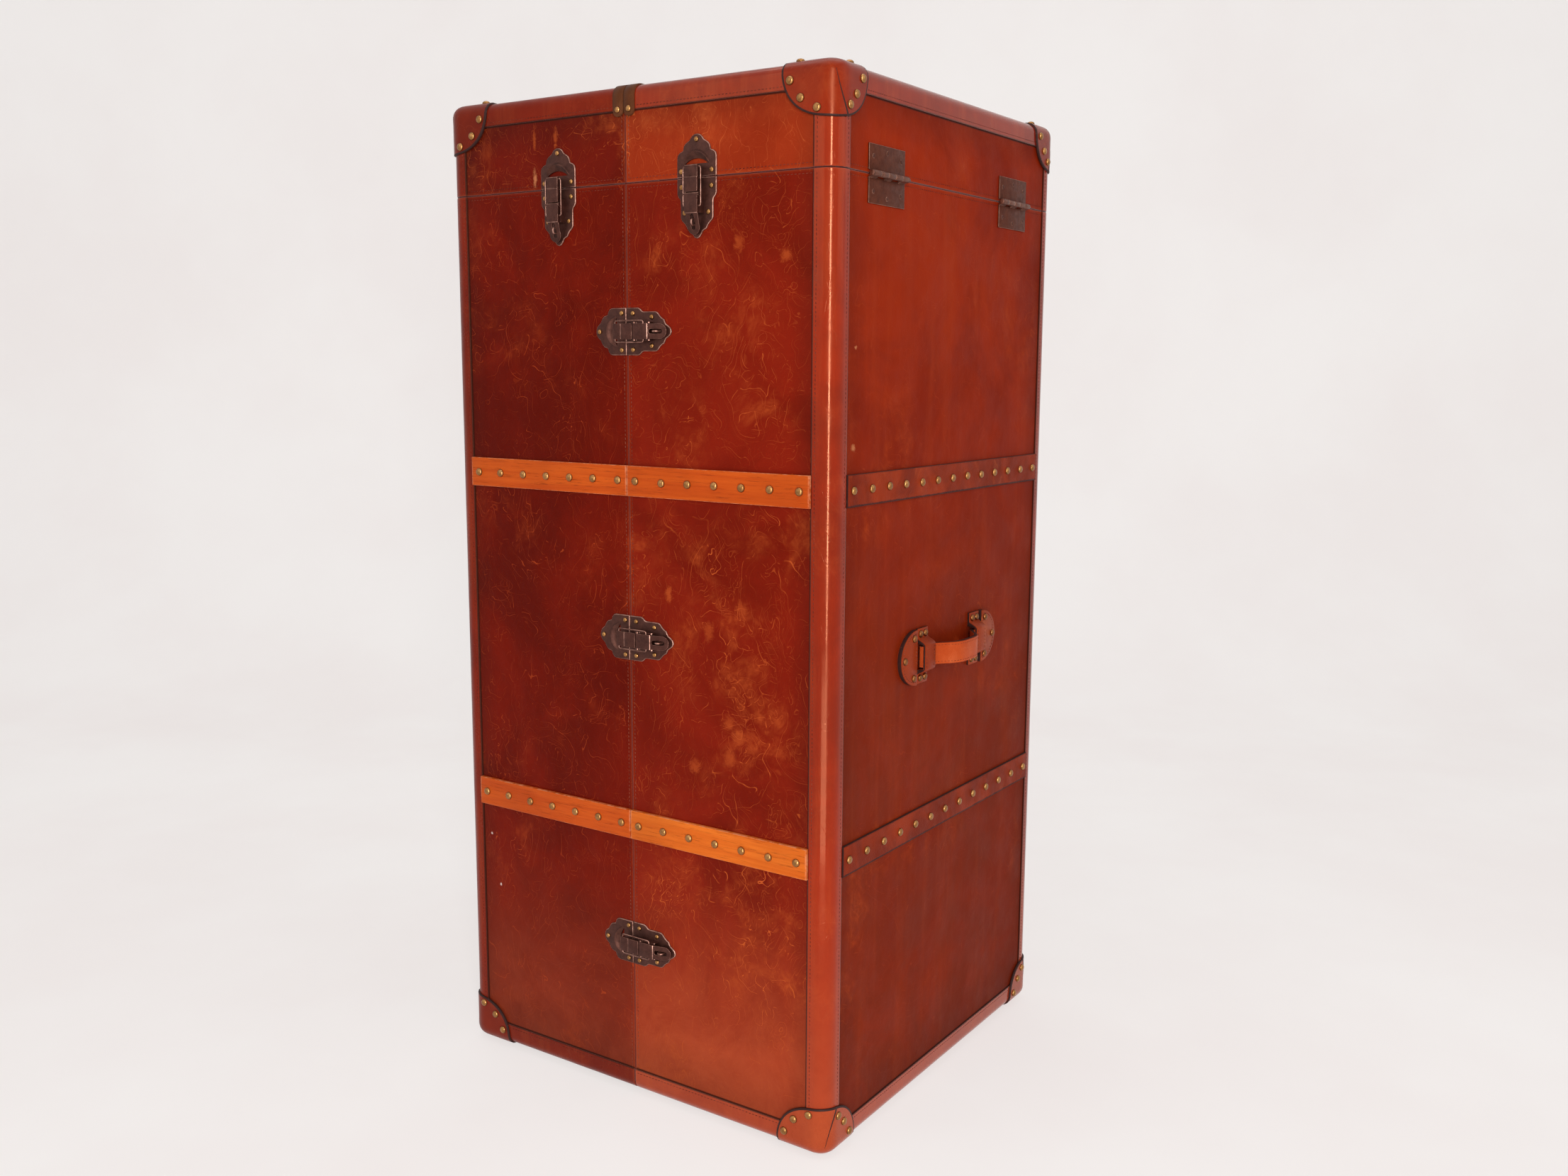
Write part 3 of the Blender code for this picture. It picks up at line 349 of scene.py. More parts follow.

# The fronts are lighter near the floor: painted light reflected from the floor.
leather("front_left", (87, 11, 4), (111, 19, 6), (170, 66, 29), 0.8, 1.7,
        low=((144, 57, 34), -0.04, 0.32), spots=LEFT_SPOTS)
leather("front_right", (103, 18, 7), (126, 27, 12), ORANGE, 0.8, 1.6,
        low=((176, 77, 45), -0.04, 0.34), spots=FRONT_SPOTS, clusters=FRONT_CLUSTERS)
leather("lid_left", (87, 12, 5), (108, 20, 9), (176, 78, 36), 0.9, 1.8, spots=LID_SPOTS)
leather("lid_right", (135, 38, 15), (158, 52, 22), (198, 94, 46), 0.9, 1.7)
leather("side", (122, 28, 5), (145, 39, 8), (178, 72, 30), 0.8, 0.6, 0.10, 0.45, 0.04,
        low=((109, 33, 11), 0.45, 0.85), spots=SIDE_SPOTS)
leather("binding_left", (102, 21, 9), (126, 31, 13), (176, 82, 42), 0.3, 0.2, 0.15, 0.28, 0.22, WAX, 0.3)
# Lower down the binding is lighter: a painted reflection of the floor.
leather("binding_right", (118, 21, 4), (142, 30, 5), (182, 76, 34), 0.4, 0.2, 0.2, 0.13, 0.65, POLISH, 0.2,
        low=((160, 60, 32), 0.0, 0.36))
leather("cap_left", (102, 23, 10), (128, 34, 14), (176, 84, 44), 0.3, 0.3, 0.0, 0.32, 0.22, WAX, 0.5)
# The foot caps are lighter: a painted highlight.
leather("cap_right", (108, 22, 5), (134, 33, 9), (190, 88, 44), 0.6, 0.4, 0.0, 0.24, 0.35, POLISH, 0.3,
        low=((168, 72, 40), 0.08, 0.3))
leather("tab", (70, 38, 22), (92, 52, 32), (132, 84, 58), 0.4, 0.3, rough=0.5)
leather("grip", (168, 64, 27), (198, 88, 44), (220, 134, 88), 1.0, 0.4, rough=0.42)
leather("loop", (132, 45, 19), (162, 65, 30), (196, 106, 66), 0.9, 0.3)
strap_leather("strap")
painted_edge("edge")
thread("thread", (80, 26, 16), (120, 52, 36))
thread("pale_thread", (84, 34, 24), (124, 66, 48))
wood("slat", (124, 40, 6), (186, 70, 12), (204, 88, 21), SLAT_GRAIN)
wood("pale_slat", (136, 52, 9), (204, 92, 20), (220, 112, 32), SLAT_GRAIN)
wood("board", (58, 30, 16), (112, 66, 38), (142, 90, 54), BOARD_GRAIN, 1.5, 0.42)
metal("bronze", (60, 32, 26), (84, 49, 40), 0.44, 0.6, 0.3)
metal("hood", (60, 33, 27), (92, 57, 47), 0.42, 0.7, 0.3)
# Worn metal that also paints the highlight on slanting faces and on the staple.
metal("worn_bronze", (104, 66, 55), (190, 146, 130), 0.36, 0.9, 0.5)
metal("hinge", (73, 34, 22), (94, 48, 32), 0.48, 0.3, 0.1)
metal("knuckle", (80, 44, 32), (120, 76, 60), 0.40, 0.5, 0.3)
# Worn metal that also paints the highlight on the slanting faces of the hinge leaves.
metal("worn_hinge", (110, 70, 56), (190, 150, 132), 0.40, 0.8, 0.4)
metal("brass", (132, 92, 52), (176, 128, 78), 0.27, 1.0, 0.5)
metal("old_brass", (106, 64, 36), (150, 98, 56), 0.30, 1.0, 0.5)
suede("lining", (70, 22, 16), (112, 42, 30))


def quads(rows, count, closed=True):
    """Faces between rows of points; a closed row runs back to its first point."""
    faces = []
    for low in range(0, (rows - 1) * count, count):
        for i in range(count if closed else count - 1):
            j = (i + 1) % count
            faces.append((low + i, low + j, low + count + j, low + count + i))
    return faces


def loft(rings):
    """Closed solid through rings of the same number of points."""
    count = len(rings[0])
    points = [point for ring in rings for point in ring]
    ends = [tuple(range(count)), tuple(range(len(points) - count, len(points)))]
    return points, ends + quads(len(rings), count)


def plate(outline, low, high, place, holes=()):
    """Flat piece of any outline, with holes."""
    loops = [list(outline), *[list(hole) for hole in holes]]
    flat = [point for loop in loops for point in loop]
    count = len(flat)
    points = [place(a, b, c) for c in (low, high) for a, b in flat]
    if holes:
        corners = tessellate_polygon([[Vector((a, b, 0.0)) for a, b in loop] for loop in loops])
    else:
        corners = [tuple(range(count))]
    faces = [tuple(face) for face in corners]
    faces += [tuple(count + i for i in face) for face in corners]
    start = 0
    for loop in loops:
        for i in range(len(loop)):
            a = start + i
            b = start + (i + 1) % len(loop)
            faces.append((a, b, count + b, count + a))
        start += len(loop)
    return points, faces


def arc(centre, radius, start, end, steps):
    wide, high = radius if isinstance(radius, tuple) else (radius, radius)
    turns = [math.radians(start + (end - start) * i / steps) for i in range(steps + 1)]
    return [(centre[0] + wide * math.cos(t), centre[1] + high * math.sin(t)) for t in turns]


def circle(radius, sides, centre=(0.0, 0.0)):
    return arc(centre, radius, 0, 360 - 360 / sides, sides - 1)


def spread(low, high, count):
    return [low + (high - low) * i / (count - 1) for i in range(count)]


def between(marks, step):
    """The marks in order, with points between them no further apart than the step."""
    marks = sorted(marks)
    found = [marks[0]]
    for low, high in zip(marks, marks[1:]):
        count = max(1, math.ceil((high - low) / step))
        found += [low + (high - low) * i / count for i in range(1, count + 1)]
    return found


def smooth(low, high, value):
    share = min(1.0, max(0.0, (value - low) / (high - low)))
    return share * share * (3 - 2 * share)


def hoop(centre, across, up, radius, sides):
    turns = [2 * math.pi * k / sides for k in range(sides)]
    return [tuple(centre + radius * (across * math.cos(t) + up * math.sin(t))) for t in turns]


def tube(path, radius, sides=10):
    """Round wire along a path, with closed ends."""
    path = [Vector(point) for point in path]
    hoops, across = [], None
    for i, point in enumerate(path):
        ahead = (path[min(i + 1, len(path) - 1)] - path[max(i - 1, 0)]).normalized()
        if across is None:
            across = ahead.orthogonal().normalized()
        across = (across - ahead * across.dot(ahead)).normalized()
        hoops.append(hoop(point, across, ahead.cross(across), radius, sides))
    return loft(hoops)


def dome(at, normal, radius, rise, sides=18, rings=5):
    """Nail head on a surface, with rim values that paint shade at its foot; returns points, faces and the rim
    values.
    """
    normal = Vector(normal).normalized()
    across = normal.orthogonal().normalized()
    up = normal.cross(across)
    levels = [(radius, -0.4 * rise, 1.0), (radius, 0.06 * rise, 1.0)]
    for k in range(1, rings):
        turn = math.radians(90 * k / rings)
        high = rise * (0.06 + 0.94 * math.sin(turn))
        levels.append((radius * math.cos(turn) ** 0.85, high, max(0.0, 0.5 - 0.5 * k)))
    hoops, values = [], []
    for size, height, rim in levels:
        hoops.append(hoop(Vector(at) + normal * height, across, up, size, sides))
        values += [rim] * sides
    points, faces = loft(hoops)
    top = len(points)
    points.append(tuple(Vector(at) + normal * rise))
    values.append(0.0)
    last = faces.pop(1)
    faces += [(last[i], last[(i + 1) % sides], top) for i in range(sides)]
    return points, faces, {"rim": values}


def piece(name, parts, body, nodes=(), bevel=0.0, steps=2, sharp=40.0, closed=True, paint=None):
    """One object from parts given as (shape, material name), riding on a body."""
    work = bmesh.new()
    names = []
    layers = {}
    for shape, look in parts:
        if look not in names:
            names.append(look)
        values = shape[2] if len(shape) > 2 else {}
        for key in values:
            if key not in layers:
                layers[key] = work.verts.layers.float.new(key)
        verts = [work.verts.new(point) for point in shape[0]]
        for key, numbers in values.items():
            for vert, number in zip(verts, numbers):
                vert[layers[key]] = number
        for face in shape[1]:
            if len(set(face)) > 2:
                made = work.faces.new([verts[i] for i in face])
                made.material_index = names.index(look)
    if closed:
        bmesh.ops.recalc_face_normals(work, faces=work.faces)
    if bevel:
        limit, rim = math.radians(28), layers.get("rim")
        edges = [e for e in work.edges if len(e.link_faces) == 2 and e.calc_face_angle(0.0) > limit]
        # The rims of nail heads stay as they are.
        edges = [e for e in edges if not rim or e.verts[0][rim] + e.verts[1][rim] == 0]
        bmesh.ops.bevel(work, geom=edges, offset=bevel, offset_type="OFFSET", segments=steps, profile=0.5,
                        affect="EDGES", clamp_overlap=True)
    if paint:
        work.normal_update()
        for face in work.faces:
            look = paint(face, names[face.material_index])
            if look not in names:
                names.append(look)
            face.material_index = names.index(look)
    for face in work.faces:
        face.smooth = True
    mesh = bpy.data.meshes.new(name)
    work.to_mesh(mesh)
    work.free()
    mesh.set_sharp_from_angle(angle=math.radians(sharp))
    for look in names:
        mesh.materials.append(MATERIALS[look])
    made = bpy.data.objects.new(name, mesh)
    bpy.context.scene.collection.objects.link(made)
    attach(made, body)
    if nodes:
        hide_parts(*nodes)
    return made


# The leather skin of the cases and lids.

# Where the grid has lines: near a seam, at the step from panel to binding, and on the edge folded in.
NEAR = (0.0, 0.0002, 0.0005, 0.0009, 0.0014, 0.0022, 0.0035, 0.006)
TOP_NEAR = (0.0, 0.0002, 0.0005, 0.0009, 0.0014, 0.003)
STEPS = (-0.0022, -0.0012, -0.0006, -0.0002, 0.0001, 0.0004, 0.0009, 0.0016)
FOLD_IN = (0.0014, 0.004, WALL)
# A depth that is well inside the binding, and a distance that is far from any seam.
BOUND, FAR = -0.01, 1.0


def flipped(samples):
    """Samples of the front, mirrored to the back."""
    return [(x, -y, nx, -ny, *rest) for x, y, nx, ny, *rest in samples]


def both_ends(edge, last):
    """Marks along the side: the steps near both of its ends, and where the rounding starts."""
    return [w * (edge + s) for w in (-1, 1) for s in STEPS] + [last - HALF_D, HALF_D - last]


def around():
    """Samples round one half: place, normal, depth into the panel, distance from the seam, region."""
    edge_x, edge_y = HALF_W - BINDING, HALF_D - BINDING
    marks = [SEAM / 2 + n for n in NEAR] + [edge_x + s for s in STEPS] + [HALF_W - EDGE_ROUND]
    front = [(x, -HALF_D, 0.0, -1.0, edge_x - x, x - SEAM / 2, "front") for x in between(marks, 0.03)]
    marks = both_ends(edge_y, EDGE_ROUND)
    side = [(HALF_W, y, 1.0, 0.0, edge_y - abs(y), FAR, "side") for y in between(marks, 0.04)]
    corner = []
    for turn in spread(-90, 0, 15)[1:-1]:
        c, s = math.cos(math.radians(turn)), math.sin(math.radians(turn))
        x, y = HALF_W - EDGE_ROUND + EDGE_ROUND * c, -HALF_D + EDGE_ROUND + EDGE_ROUND * s
        corner.append((x, y, c, s, BOUND, FAR, "side"))
    back = [(*sample[:-1], "back") for sample in front]
    rim = [(SEAM / 2, -HALF_D, 0.0, -1.0, -depth, -depth, "rim") for depth in FOLD_IN[::-1]]
    return rim + front + corner + side + flipped(rim + back + corner)[::-1]


def rounding(distance, radius=0.0014):
    """How far a folded edge falls away from the face."""
    if distance >= radius:
        return 0.0
    return radius - math.sqrt(max(0.0, radius * radius - (radius - max(0.0, distance)) ** 2))


def step_down(inside):
    """How far the panel lies below the binding."""
    return RELIEF * smooth(-0.0004, 0.0006, inside)


# Edge paint and painted shade where the panel steps down to the binding.
def edge_paint_and_shade(inside):
    return min(1.0, max(0.0, 1.9 - abs(inside - 0.0006) / 0.0010))


# Wear on a folded edge, with a painted highlight along it.
def wear_and_highlight(distance):
    return max(0.0, 1.0 - distance / 0.003)


def skin_grid(levels, side):
    """Grid over one half from levels of (height, inset, depth into the panel, distance from the lid seam)."""
    samples = around()
    points, edges, folds, notes = [], [], [], []
    for height, inset, depth_z, from_lid in levels:
        for x, y, nx, ny, depth, from_seam, region in samples:
            if region == "rim":
                way = -1 if y < 0 else 1
                point = (SEAM / 2 - 0.0001, y - way * max(-depth, inset), height)
                inside = BOUND
            else:
                inside = min(depth, depth_z)
                drop = step_down(inside)
                drop += max(rounding(from_seam), rounding(from_lid)) + inset - SKIN
                point = (x - nx * drop, y - ny * drop, height)
            points.append((side * point[0], point[1], point[2]))
            edges.append(edge_paint_and_shade(inside))
            folds.append(wear_and_highlight(min(abs(from_seam), abs(from_lid))) if region != "rim" else 0.0)
            notes.append((inside, region))
    faces, looks = [], []
    for face in quads(len(levels), len(samples), False):
        faces.append(face if side > 0 else face[::-1])
        depth = sum(notes[k][0] for k in face) / 4
        looks.append("binding" if depth < 0 else notes[face[0]][1])
    return points, faces, {"edge": edges, "fold": folds}, looks


def skin_parts(grid, kind, word):
    """The grid split by look: front panels differ from half to half."""
    points, faces, values, looks = grid
    border = f"binding_{word}"
    named = {"binding": border, "side": "side", "back": "side", "rim": border, "front": f"{kind}_{word}"}
    parts = []
    for look in ("front", "side", "back", "rim", "binding"):
        chosen = [face for face, found in zip(faces, looks) if found == look]
        used = sorted({i for face in chosen for i in face})
        index = {old: new for new, old in enumerate(used)}
        shape = [points[i] for i in used], [tuple(index[i] for i in face) for face in chosen]
        values_used = {key: [numbers[i] for i in used] for key, numbers in values.items()}
        parts.append(((*shape, values_used), named[look]))
    return parts


def rim_levels(base, way):
    """Levels round the edge of the foot or of the top, from the flat face on."""
    levels = []
    for turn in spread(0, 90, 9):
        t = math.radians(turn)
        levels.append((base + way * RIM_ROUND * (1 - math.cos(t)), RIM_ROUND * (1 - math.sin(t)), BOUND, FAR))
    return levels


def case_skin(word, side):
    edge, seam = CASE_Z + BINDING, SEAM_Z - SEAM / 2
    levels = [(CASE_Z - SKIN, 0.018, BOUND, FAR)] + rim_levels(CASE_Z - SKIN, 1)
    marks = [edge - s for s in STEPS] + [seam - n for n in NEAR] + [CASE_Z + RIM_ROUND + 0.004]
    levels += [(z, 0.0, z - edge, seam - z) for z in between(marks, 0.06)]
    levels += [(seam + 0.0001, inset, BOUND, 0.0) for inset in FOLD_IN]
    parts = skin_parts(skin_grid(levels, side), "front", word)
    clean(piece(f"{word}_case_leather", parts, f"{word}_half", closed=False, sharp=60))


def lid_skin(word, side):
    edge, seam = TOP_Z - BINDING, SEAM_Z + SEAM / 2
    levels = [(seam - 0.0001, inset, BOUND, 0.0) for inset in FOLD_IN[::-1]]
    marks = [edge + s for s in STEPS] + [seam + n for n in NEAR] + [TOP_Z - RIM_ROUND - 0.003]
    levels += [(z, 0.0, edge - z, z - seam) for z in between(marks, 0.06)]
    levels += rim_levels(TOP_Z + SKIN, -1)[::-1]
    parts = skin_parts(skin_grid(levels, side), "lid", word)
    # The top, with a grid of its own.
    edge_x, edge_y = HALF_W - BINDING, HALF_D - BINDING
    marks = [SEAM / 2 + n for n in TOP_NEAR] + [edge_x + s for s in STEPS] + [HALF_W - RIM_ROUND]
    across, along = between(marks, 0.05), between(both_ends(edge_y, RIM_ROUND), 0.05)
    points, edges, folds, depths = [], [], [], []
    for y in along:
        for x in across:
            inside = min(edge_x - x, edge_y - abs(y))
            drop = step_down(inside) + rounding(x - SEAM / 2)
            points.append((side * x, y, TOP_Z + SKIN - drop))
            edges.append(edge_paint_and_shade(inside))
            folds.append(wear_and_highlight(x - SEAM / 2))
            depths.append(inside)
    border = f"binding_{word}"
    chosen = {"side": [], border: []}
    for face in quads(len(along), len(across), False):
        look = border if sum(depths[k] for k in face) < 0 else "side"
        chosen[look].append(face if side > 0 else face[::-1])
    for look, faces in chosen.items():
        parts.append(((points, faces, {"edge": edges, "fold": folds}), look))
    clean(piece(f"{word}_lid_leather", parts, f"{word}_lid", closed=False, sharp=60))


def clean(made):
    """Drops points that no face uses and closes the grid's joins."""
    work = bmesh.new()
    work.from_mesh(made.data)
    bmesh.ops.delete(work, geom=[v for v in work.verts if not v.link_faces], context="VERTS")
    bmesh.ops.remove_doubles(work, verts=work.verts, dist=0.00002)
    bmesh.ops.dissolve_degenerate(work, edges=work.edges, dist=0.000005)
    work.to_mesh(made.data)
    work.free()


# Sewing.

def stitches(path, normal, pitch=0.0046, long=0.0032, half=0.00042, rise=0.00038):
    """Row of stitches along a path on a face."""
    path = [Vector(point) for point in path]
    normal = Vector(normal).normalized()
    lengths = [(b - a).length for a, b in zip(path, path[1:])]
    total = sum(lengths)
    count = max(1, int(total / pitch))
    points, faces = [], []
    step = total / count
    for k in range(count):
        at = (k + 0.5) * step
        leg = 0
        while leg < len(lengths) - 1 and at > lengths[leg]:
            at -= lengths[leg]
            leg += 1
        ahead = (path[leg + 1] - path[leg]).normalized()
        middle = path[leg] + ahead * at
        across = normal.cross(ahead)
        ahead = (ahead + across * random.uniform(0.04, 0.14)).normalized()
        across = normal.cross(ahead)
        size = long * random.uniform(0.46, 0.54)
        start = len(points)
        points.append(middle - ahead * size - normal * 0.2 * rise)
        for share in (-0.6, 0.6):
            spot = middle + ahead * size * share
            points += [spot - across * half, spot + normal * rise, spot + across * half, spot - normal * rise]
        points.append(middle + ahead * size - normal * 0.2 * rise)
        for i in range(4):
            j = (i + 1) % 4
            faces.append((start, start + 1 + i, start + 1 + j))
            faces.append((start + 1 + i, start + 5 + i, start + 5 + j, start + 1 + j))
            faces.append((start + 9, start + 5 + j, start + 5 + i))
    return [tuple(p) for p in points], faces


def sewing(word, s):
    """All the stitch lines of one half and its lid."""
    edge_x, edge_y = HALF_W - BINDING + STITCH_INSET, HALF_D - BINDING + STITCH_INSET
    low, high = CASE_Z + BINDING, TOP_Z - BINDING
    x, panel_x, top = s * (HALF_W + SKIN), s * (SIDE_X + SKIN), TOP_Z + SKIN
    span = edge_y - 0.006
    # For each body: ends of the upright rows, height of the border row, height of the row at the lid seam.
    bodies = {
        "half": (low, SEAM_Z - SEAM_CLEAR, low - STITCH_INSET, SEAM_Z - SEAM_ROW),
        "lid": (SEAM_Z + SEAM_CLEAR, high + 0.010, high + STITCH_INSET, SEAM_Z + SEAM_ROW),
    }
    for body, (start, stop, border, row) in bodies.items():
        dark, pale = [], []
        for way in (-1, 1):
            y, panel = way * (HALF_D + SKIN), way * (HALF_D - RELIEF + SKIN)
            face = (0, way, 0)
            dark.append(([(s * edge_x, y, start), (s * edge_x, y, stop)], face))
            dark.append(([(s * 0.003, y, border), (s * edge_x, y, border)], face))
            dark.append(([(s * 0.005, panel, row), (s * (edge_x - 0.006), panel, row)], face))
            if way < 0:
                pale.append(([(s * 0.0048, panel, start), (s * 0.0048, panel, min(stop, high))], face))
            dark.append(([(x, way * edge_y, start), (x, way * edge_y, stop)], (s, 0, 0)))
            if body == "lid":
                dark.append(([(s * 0.003, way * edge_y, top), (s * edge_x, way * edge_y, top)], (0, 0, 1)))
        dark.append(([(x, -edge_y, border), (x, edge_y, border)], (s, 0, 0)))
        dark.append(([(panel_x, -span, row), (panel_x, span, row)], (s, 0, 0)))
        if body == "lid":
            dark.append(([(s * edge_x, -edge_y, top), (s * edge_x, edge_y, top)], (0, 0, 1)))
        parts = [(stitches(path, face), "thread") for path, face in dark]
        parts += [(stitches(path, face), "pale_thread") for path, face in pale]
        piece(f"{word}_{body}_stitches", parts, f"{word}_{body}")


# Bands with their nails.

def band(name, body, span, thick, nails, place, outward, look, rounded):
    """Straight band with dome nails; place takes along, up and out."""
    wide = BAND_WIDTH / 2
    cuts = between([span[0], span[0] + 0.002, span[1] - 0.002, span[1]], 0.02)
    profile = [(-wide, 0.0), (-wide, thick - rounded), (-wide + 0.3 * rounded, thick - 0.3 * rounded)]
    profile += [(-wide + rounded, thick), (-wide + 0.0026, thick)]
    profile += [(-b, c) for b, c in profile[::-1]]
    rings = []
    across, end, worn = [], [], []
    for k, a in enumerate(cuts):
        last = k in (0, len(cuts) - 1)
        sink = 0.4 * rounded if last else 0.0
        rings.append([place(a, b, c - sink if c > 0.5 * thick else c) for b, c in profile])
        for i, (b, c) in enumerate(profile):
            across.append(b / wide)
            end.append(1.0 if last else 0.0)
            worn.append(1.0 if i in (1, 2, 7, 8) or last else 0.0)
    points, faces = loft(rings)
    parts = [((points, faces, {"across": across, "end": end, "worn": worn}), look)]
    for a in spread(span[0] + NAIL_MARGIN, span[1] - NAIL_MARGIN, nails):
        at = place(a + random.uniform(-0.0006, 0.0006), random.uniform(-0.0005, 0.0005), thick)
        parts.append((dome(at, outward, NAIL_RADIUS, NAIL_RISE), "brass"))

    def paint(face, found):
        if found == "strap" and abs(face.normal.dot(Vector(outward))) < 0.6:
            return "edge"
        return found

    piece(f"{name}_band", parts, body, [name], paint=paint, sharp=50)


def bands(word, s):
    for level, height in (("upper", UPPER_BAND), ("lower", LOWER_BAND)):

        def on_front(a, b, c, height=height):
            return (s * a, FRONT_Y - c, height + b)

        def on_side(a, b, c, height=height):
            return (s * (SIDE_X + c), a, height + b)

        # In the photo the lower slat on the right is lighter than the others.
        look = "pale_slat" if (word, level) == ("right", "lower") else "slat"
        span = (SEAM / 2 + 0.0002, HALF_W - BINDING - GAP)
        band(f"{word}_{level}_slat", f"{word}_half", span, SLAT_THICK, SLAT_NAILS,
             on_front, (0, -1, 0), look, 0.0008)
        end = HALF_D - BINDING - GAP
        band(f"{word}_{level}_strap", f"{word}_half", (-end, end), STRAP_THICK, STRAP_NAILS,
             on_side, (s, 0, 0), "strap", 0.0006)


# Corner caps.

def depth_at(x, y, z):
    """Distance in from the rounded corner, with each measured in from its face."""
    if x < EDGE_ROUND and y < EDGE_ROUND:
        flat = EDGE_ROUND - math.hypot(EDGE_ROUND - x, EDGE_ROUND - y)
    else:
        flat = min(x, y)
    if flat < RIM_ROUND and z < RIM_ROUND:
        return RIM_ROUND - math.hypot(RIM_ROUND - flat, RIM_ROUND - z)
    return min(flat, z)


def on_corner(point, out):
    """Moves a point of the sharp corner onto the rounded one, a given distance outside it."""
    start = Vector(point)
    inner = Vector((max(start.x, EDGE_ROUND), max(start.y, EDGE_ROUND), max(start.z, RIM_ROUND)))
    low, high = -0.6, 1.0
    for _ in range(26):
        middle = (low + high) / 2
        if depth_at(*(start + (inner - start) * middle)) < -out:
            low = middle
        else:
            high = middle
    return start + (inner - start) * high


def cap_rim(steps):
    """Outline of a cap over the sharp corner: front, top, then side."""
    rim = []
    for first, second, third in (("z", "x", "y"), ("x", "y", "z"), ("y", "z", "x")):
        reach = {"x": CAP_ACROSS, "y": CAP_ALONG, "z": CAP_DOWN}
        for k in range(steps):
            turn = math.radians(90 * k / steps)
            spot = {third: 0.0, first: reach[first] * math.cos(turn) ** CAP_FULLNESS}
            spot[second] = reach[second] * math.sin(turn) ** CAP_FULLNESS
            rim.append(Vector((spot["x"], spot["y"], spot["z"])))
    return rim


def cap(word, s, where, end, top):
    kind = "lid" if top else "foot"
    body = f"{word}_lid" if top else f"{word}_half"
    name = f"{word}_{where}_{kind}_cap"
    base = TOP_Z if top else CASE_Z
    way = -1 if top else 1

    def place(point):
        return (s * (HALF_W - point[0]), end * (HALF_D - point[1]), base + way * point[2])

    thick = GAP + CAP_THICK
    rim = cap_rim(22)
    rings = []
    for share in (0.05, 0.12, 0.2, 0.29, 0.38, 0.48, 0.58, 0.68, 0.78, 0.87, 0.93, 0.966, 0.99):
        rings.append([place(on_corner(point * share, thick)) for point in rim])
    for share, out in ((0.998, 0.93 * thick), (1.002, 0.75 * thick), (1.004, 0.4 * thick), (1.004, 0.0)):
        rings.append([place(on_corner(point * share, out)) for point in rim])
    count = len(rim)
    points = [place(on_corner((0.0, 0.0, 0.0), thick)), *[point for ring in rings for point in ring]]
    faces = [(0, 1 + i, 1 + (i + 1) % count) for i in range(count)]
    faces += [(1 + a, 1 + d, 1 + c, 1 + b) for a, b, c, d in quads(len(rings), count)]
    if s * end * way > 0:
        faces = [face[::-1] for face in faces]
    # The last five rows of faces are the cut edge.
    faces, edge_faces = faces[:-5 * count], faces[-5 * count:]
    parts = [((points, faces), f"cap_{word}"), ((points, edge_faces), "edge")]
    spots = [((0.055, 0.0, 0.018), 1), ((0.042, 0.0, 0.036), 1), ((0.022, 0.0, 0.047), 1)]
    spots += [((0.0, 0.046, 0.014), 0), ((0.0, 0.034, 0.031), 0), ((0.0, 0.022, 0.043), 0)]
    if top:
        spots += [((0.052, 0.014, 0.0), 2), ((0.036, 0.034, 0.0), 2), ((0.014, 0.044, 0.0), 2)]
    for spot, axis in spots:
        normal = [0.0, 0.0, 0.0]
        normal[axis] = (s, end, -way)[axis]
        parts.append((dome(place(on_corner(spot, thick)), normal, *CAP_NAIL), "brass"))
    # The dart where the leather is folded round the upright edge, drawn as a dark ribbon: edge paint, and
    # painted shade for the slit.
    rings = []
    for share in spread(0.0, 1.0, 15):
        down = 0.009 + (CAP_DOWN - 0.0095) * share
        middle = 0.0005 + 0.0185 * share
        half = 0.0014 * (0.35 + 0.65 * share)
        ring = []
        for shift, out in ((-1.0, -0.0003), (-0.7, 0.0002), (0.7, 0.0002), (1.0, -0.0003)):
            spot = (0.0, middle + half * shift, down)
            if spot[1] < 0:
                spot = (-spot[1], 0.0, down)
            ring.append(place(on_corner(spot, thick + out)))
        rings.append(ring)
    parts.append((loft(rings), "edge"))
    clean(piece(name + "_leather", parts, body, [name], closed=False, sharp=50))


def tab(word, s):
    """Leather tab over the top front edge, with a rivet."""
    low = TOP_Z - TAB_DROP
    marks = [low + n for n in (0.0, 0.0004, 0.0012, 0.0025, 0.0045, 0.0075)] + [TOP_Z - RIM_ROUND]
    path = [(-HALF_D, z, -1.0, 0.0, z - low) for z in between(marks, 0.006)]
    for turn in spread(180, 90, 9)[1:]:
        c, t = math.cos(math.radians(turn)), math.sin(math.radians(turn))
        path.append((-HALF_D + RIM_ROUND + RIM_ROUND * c, TOP_Z - RIM_ROUND + RIM_ROUND * t, c, t, 1.0))
    path += [(-HALF_D + lap, TOP_Z, 0.0, 1.0, 1.0) for lap in (TAB_LAP - 0.001, TAB_LAP)]
    half = TAB_WIDTH / 2
    middle, top = SEAM / 2 + half, GAP + TAB_THICK
    rings = []
    for y, z, ny, nz, run in path:
        wide = half if run >= half else math.sqrt(max(0.0, half * half - (half - run) ** 2)) + 0.0002
        edge = [(-wide, 0.0), (-wide, 0.7 * top), (-wide + 0.0005, top)]
        edge += [(-a, c) for a, c in edge[::-1]]
        rings.append([(s * (middle + a), y + ny * c, z + nz * c) for a, c in edge])
    at = (s * middle, -HALF_D - GAP - TAB_THICK, TOP_Z - 0.026)
    parts = [(loft(rings), "tab"), (dome(at, (0, -1, 0), *TAB_RIVET), "brass")]
    piece(f"{word}_tab_leather", parts, f"{word}_lid", [f"{word}_tab"], sharp=55)


# Hinges.

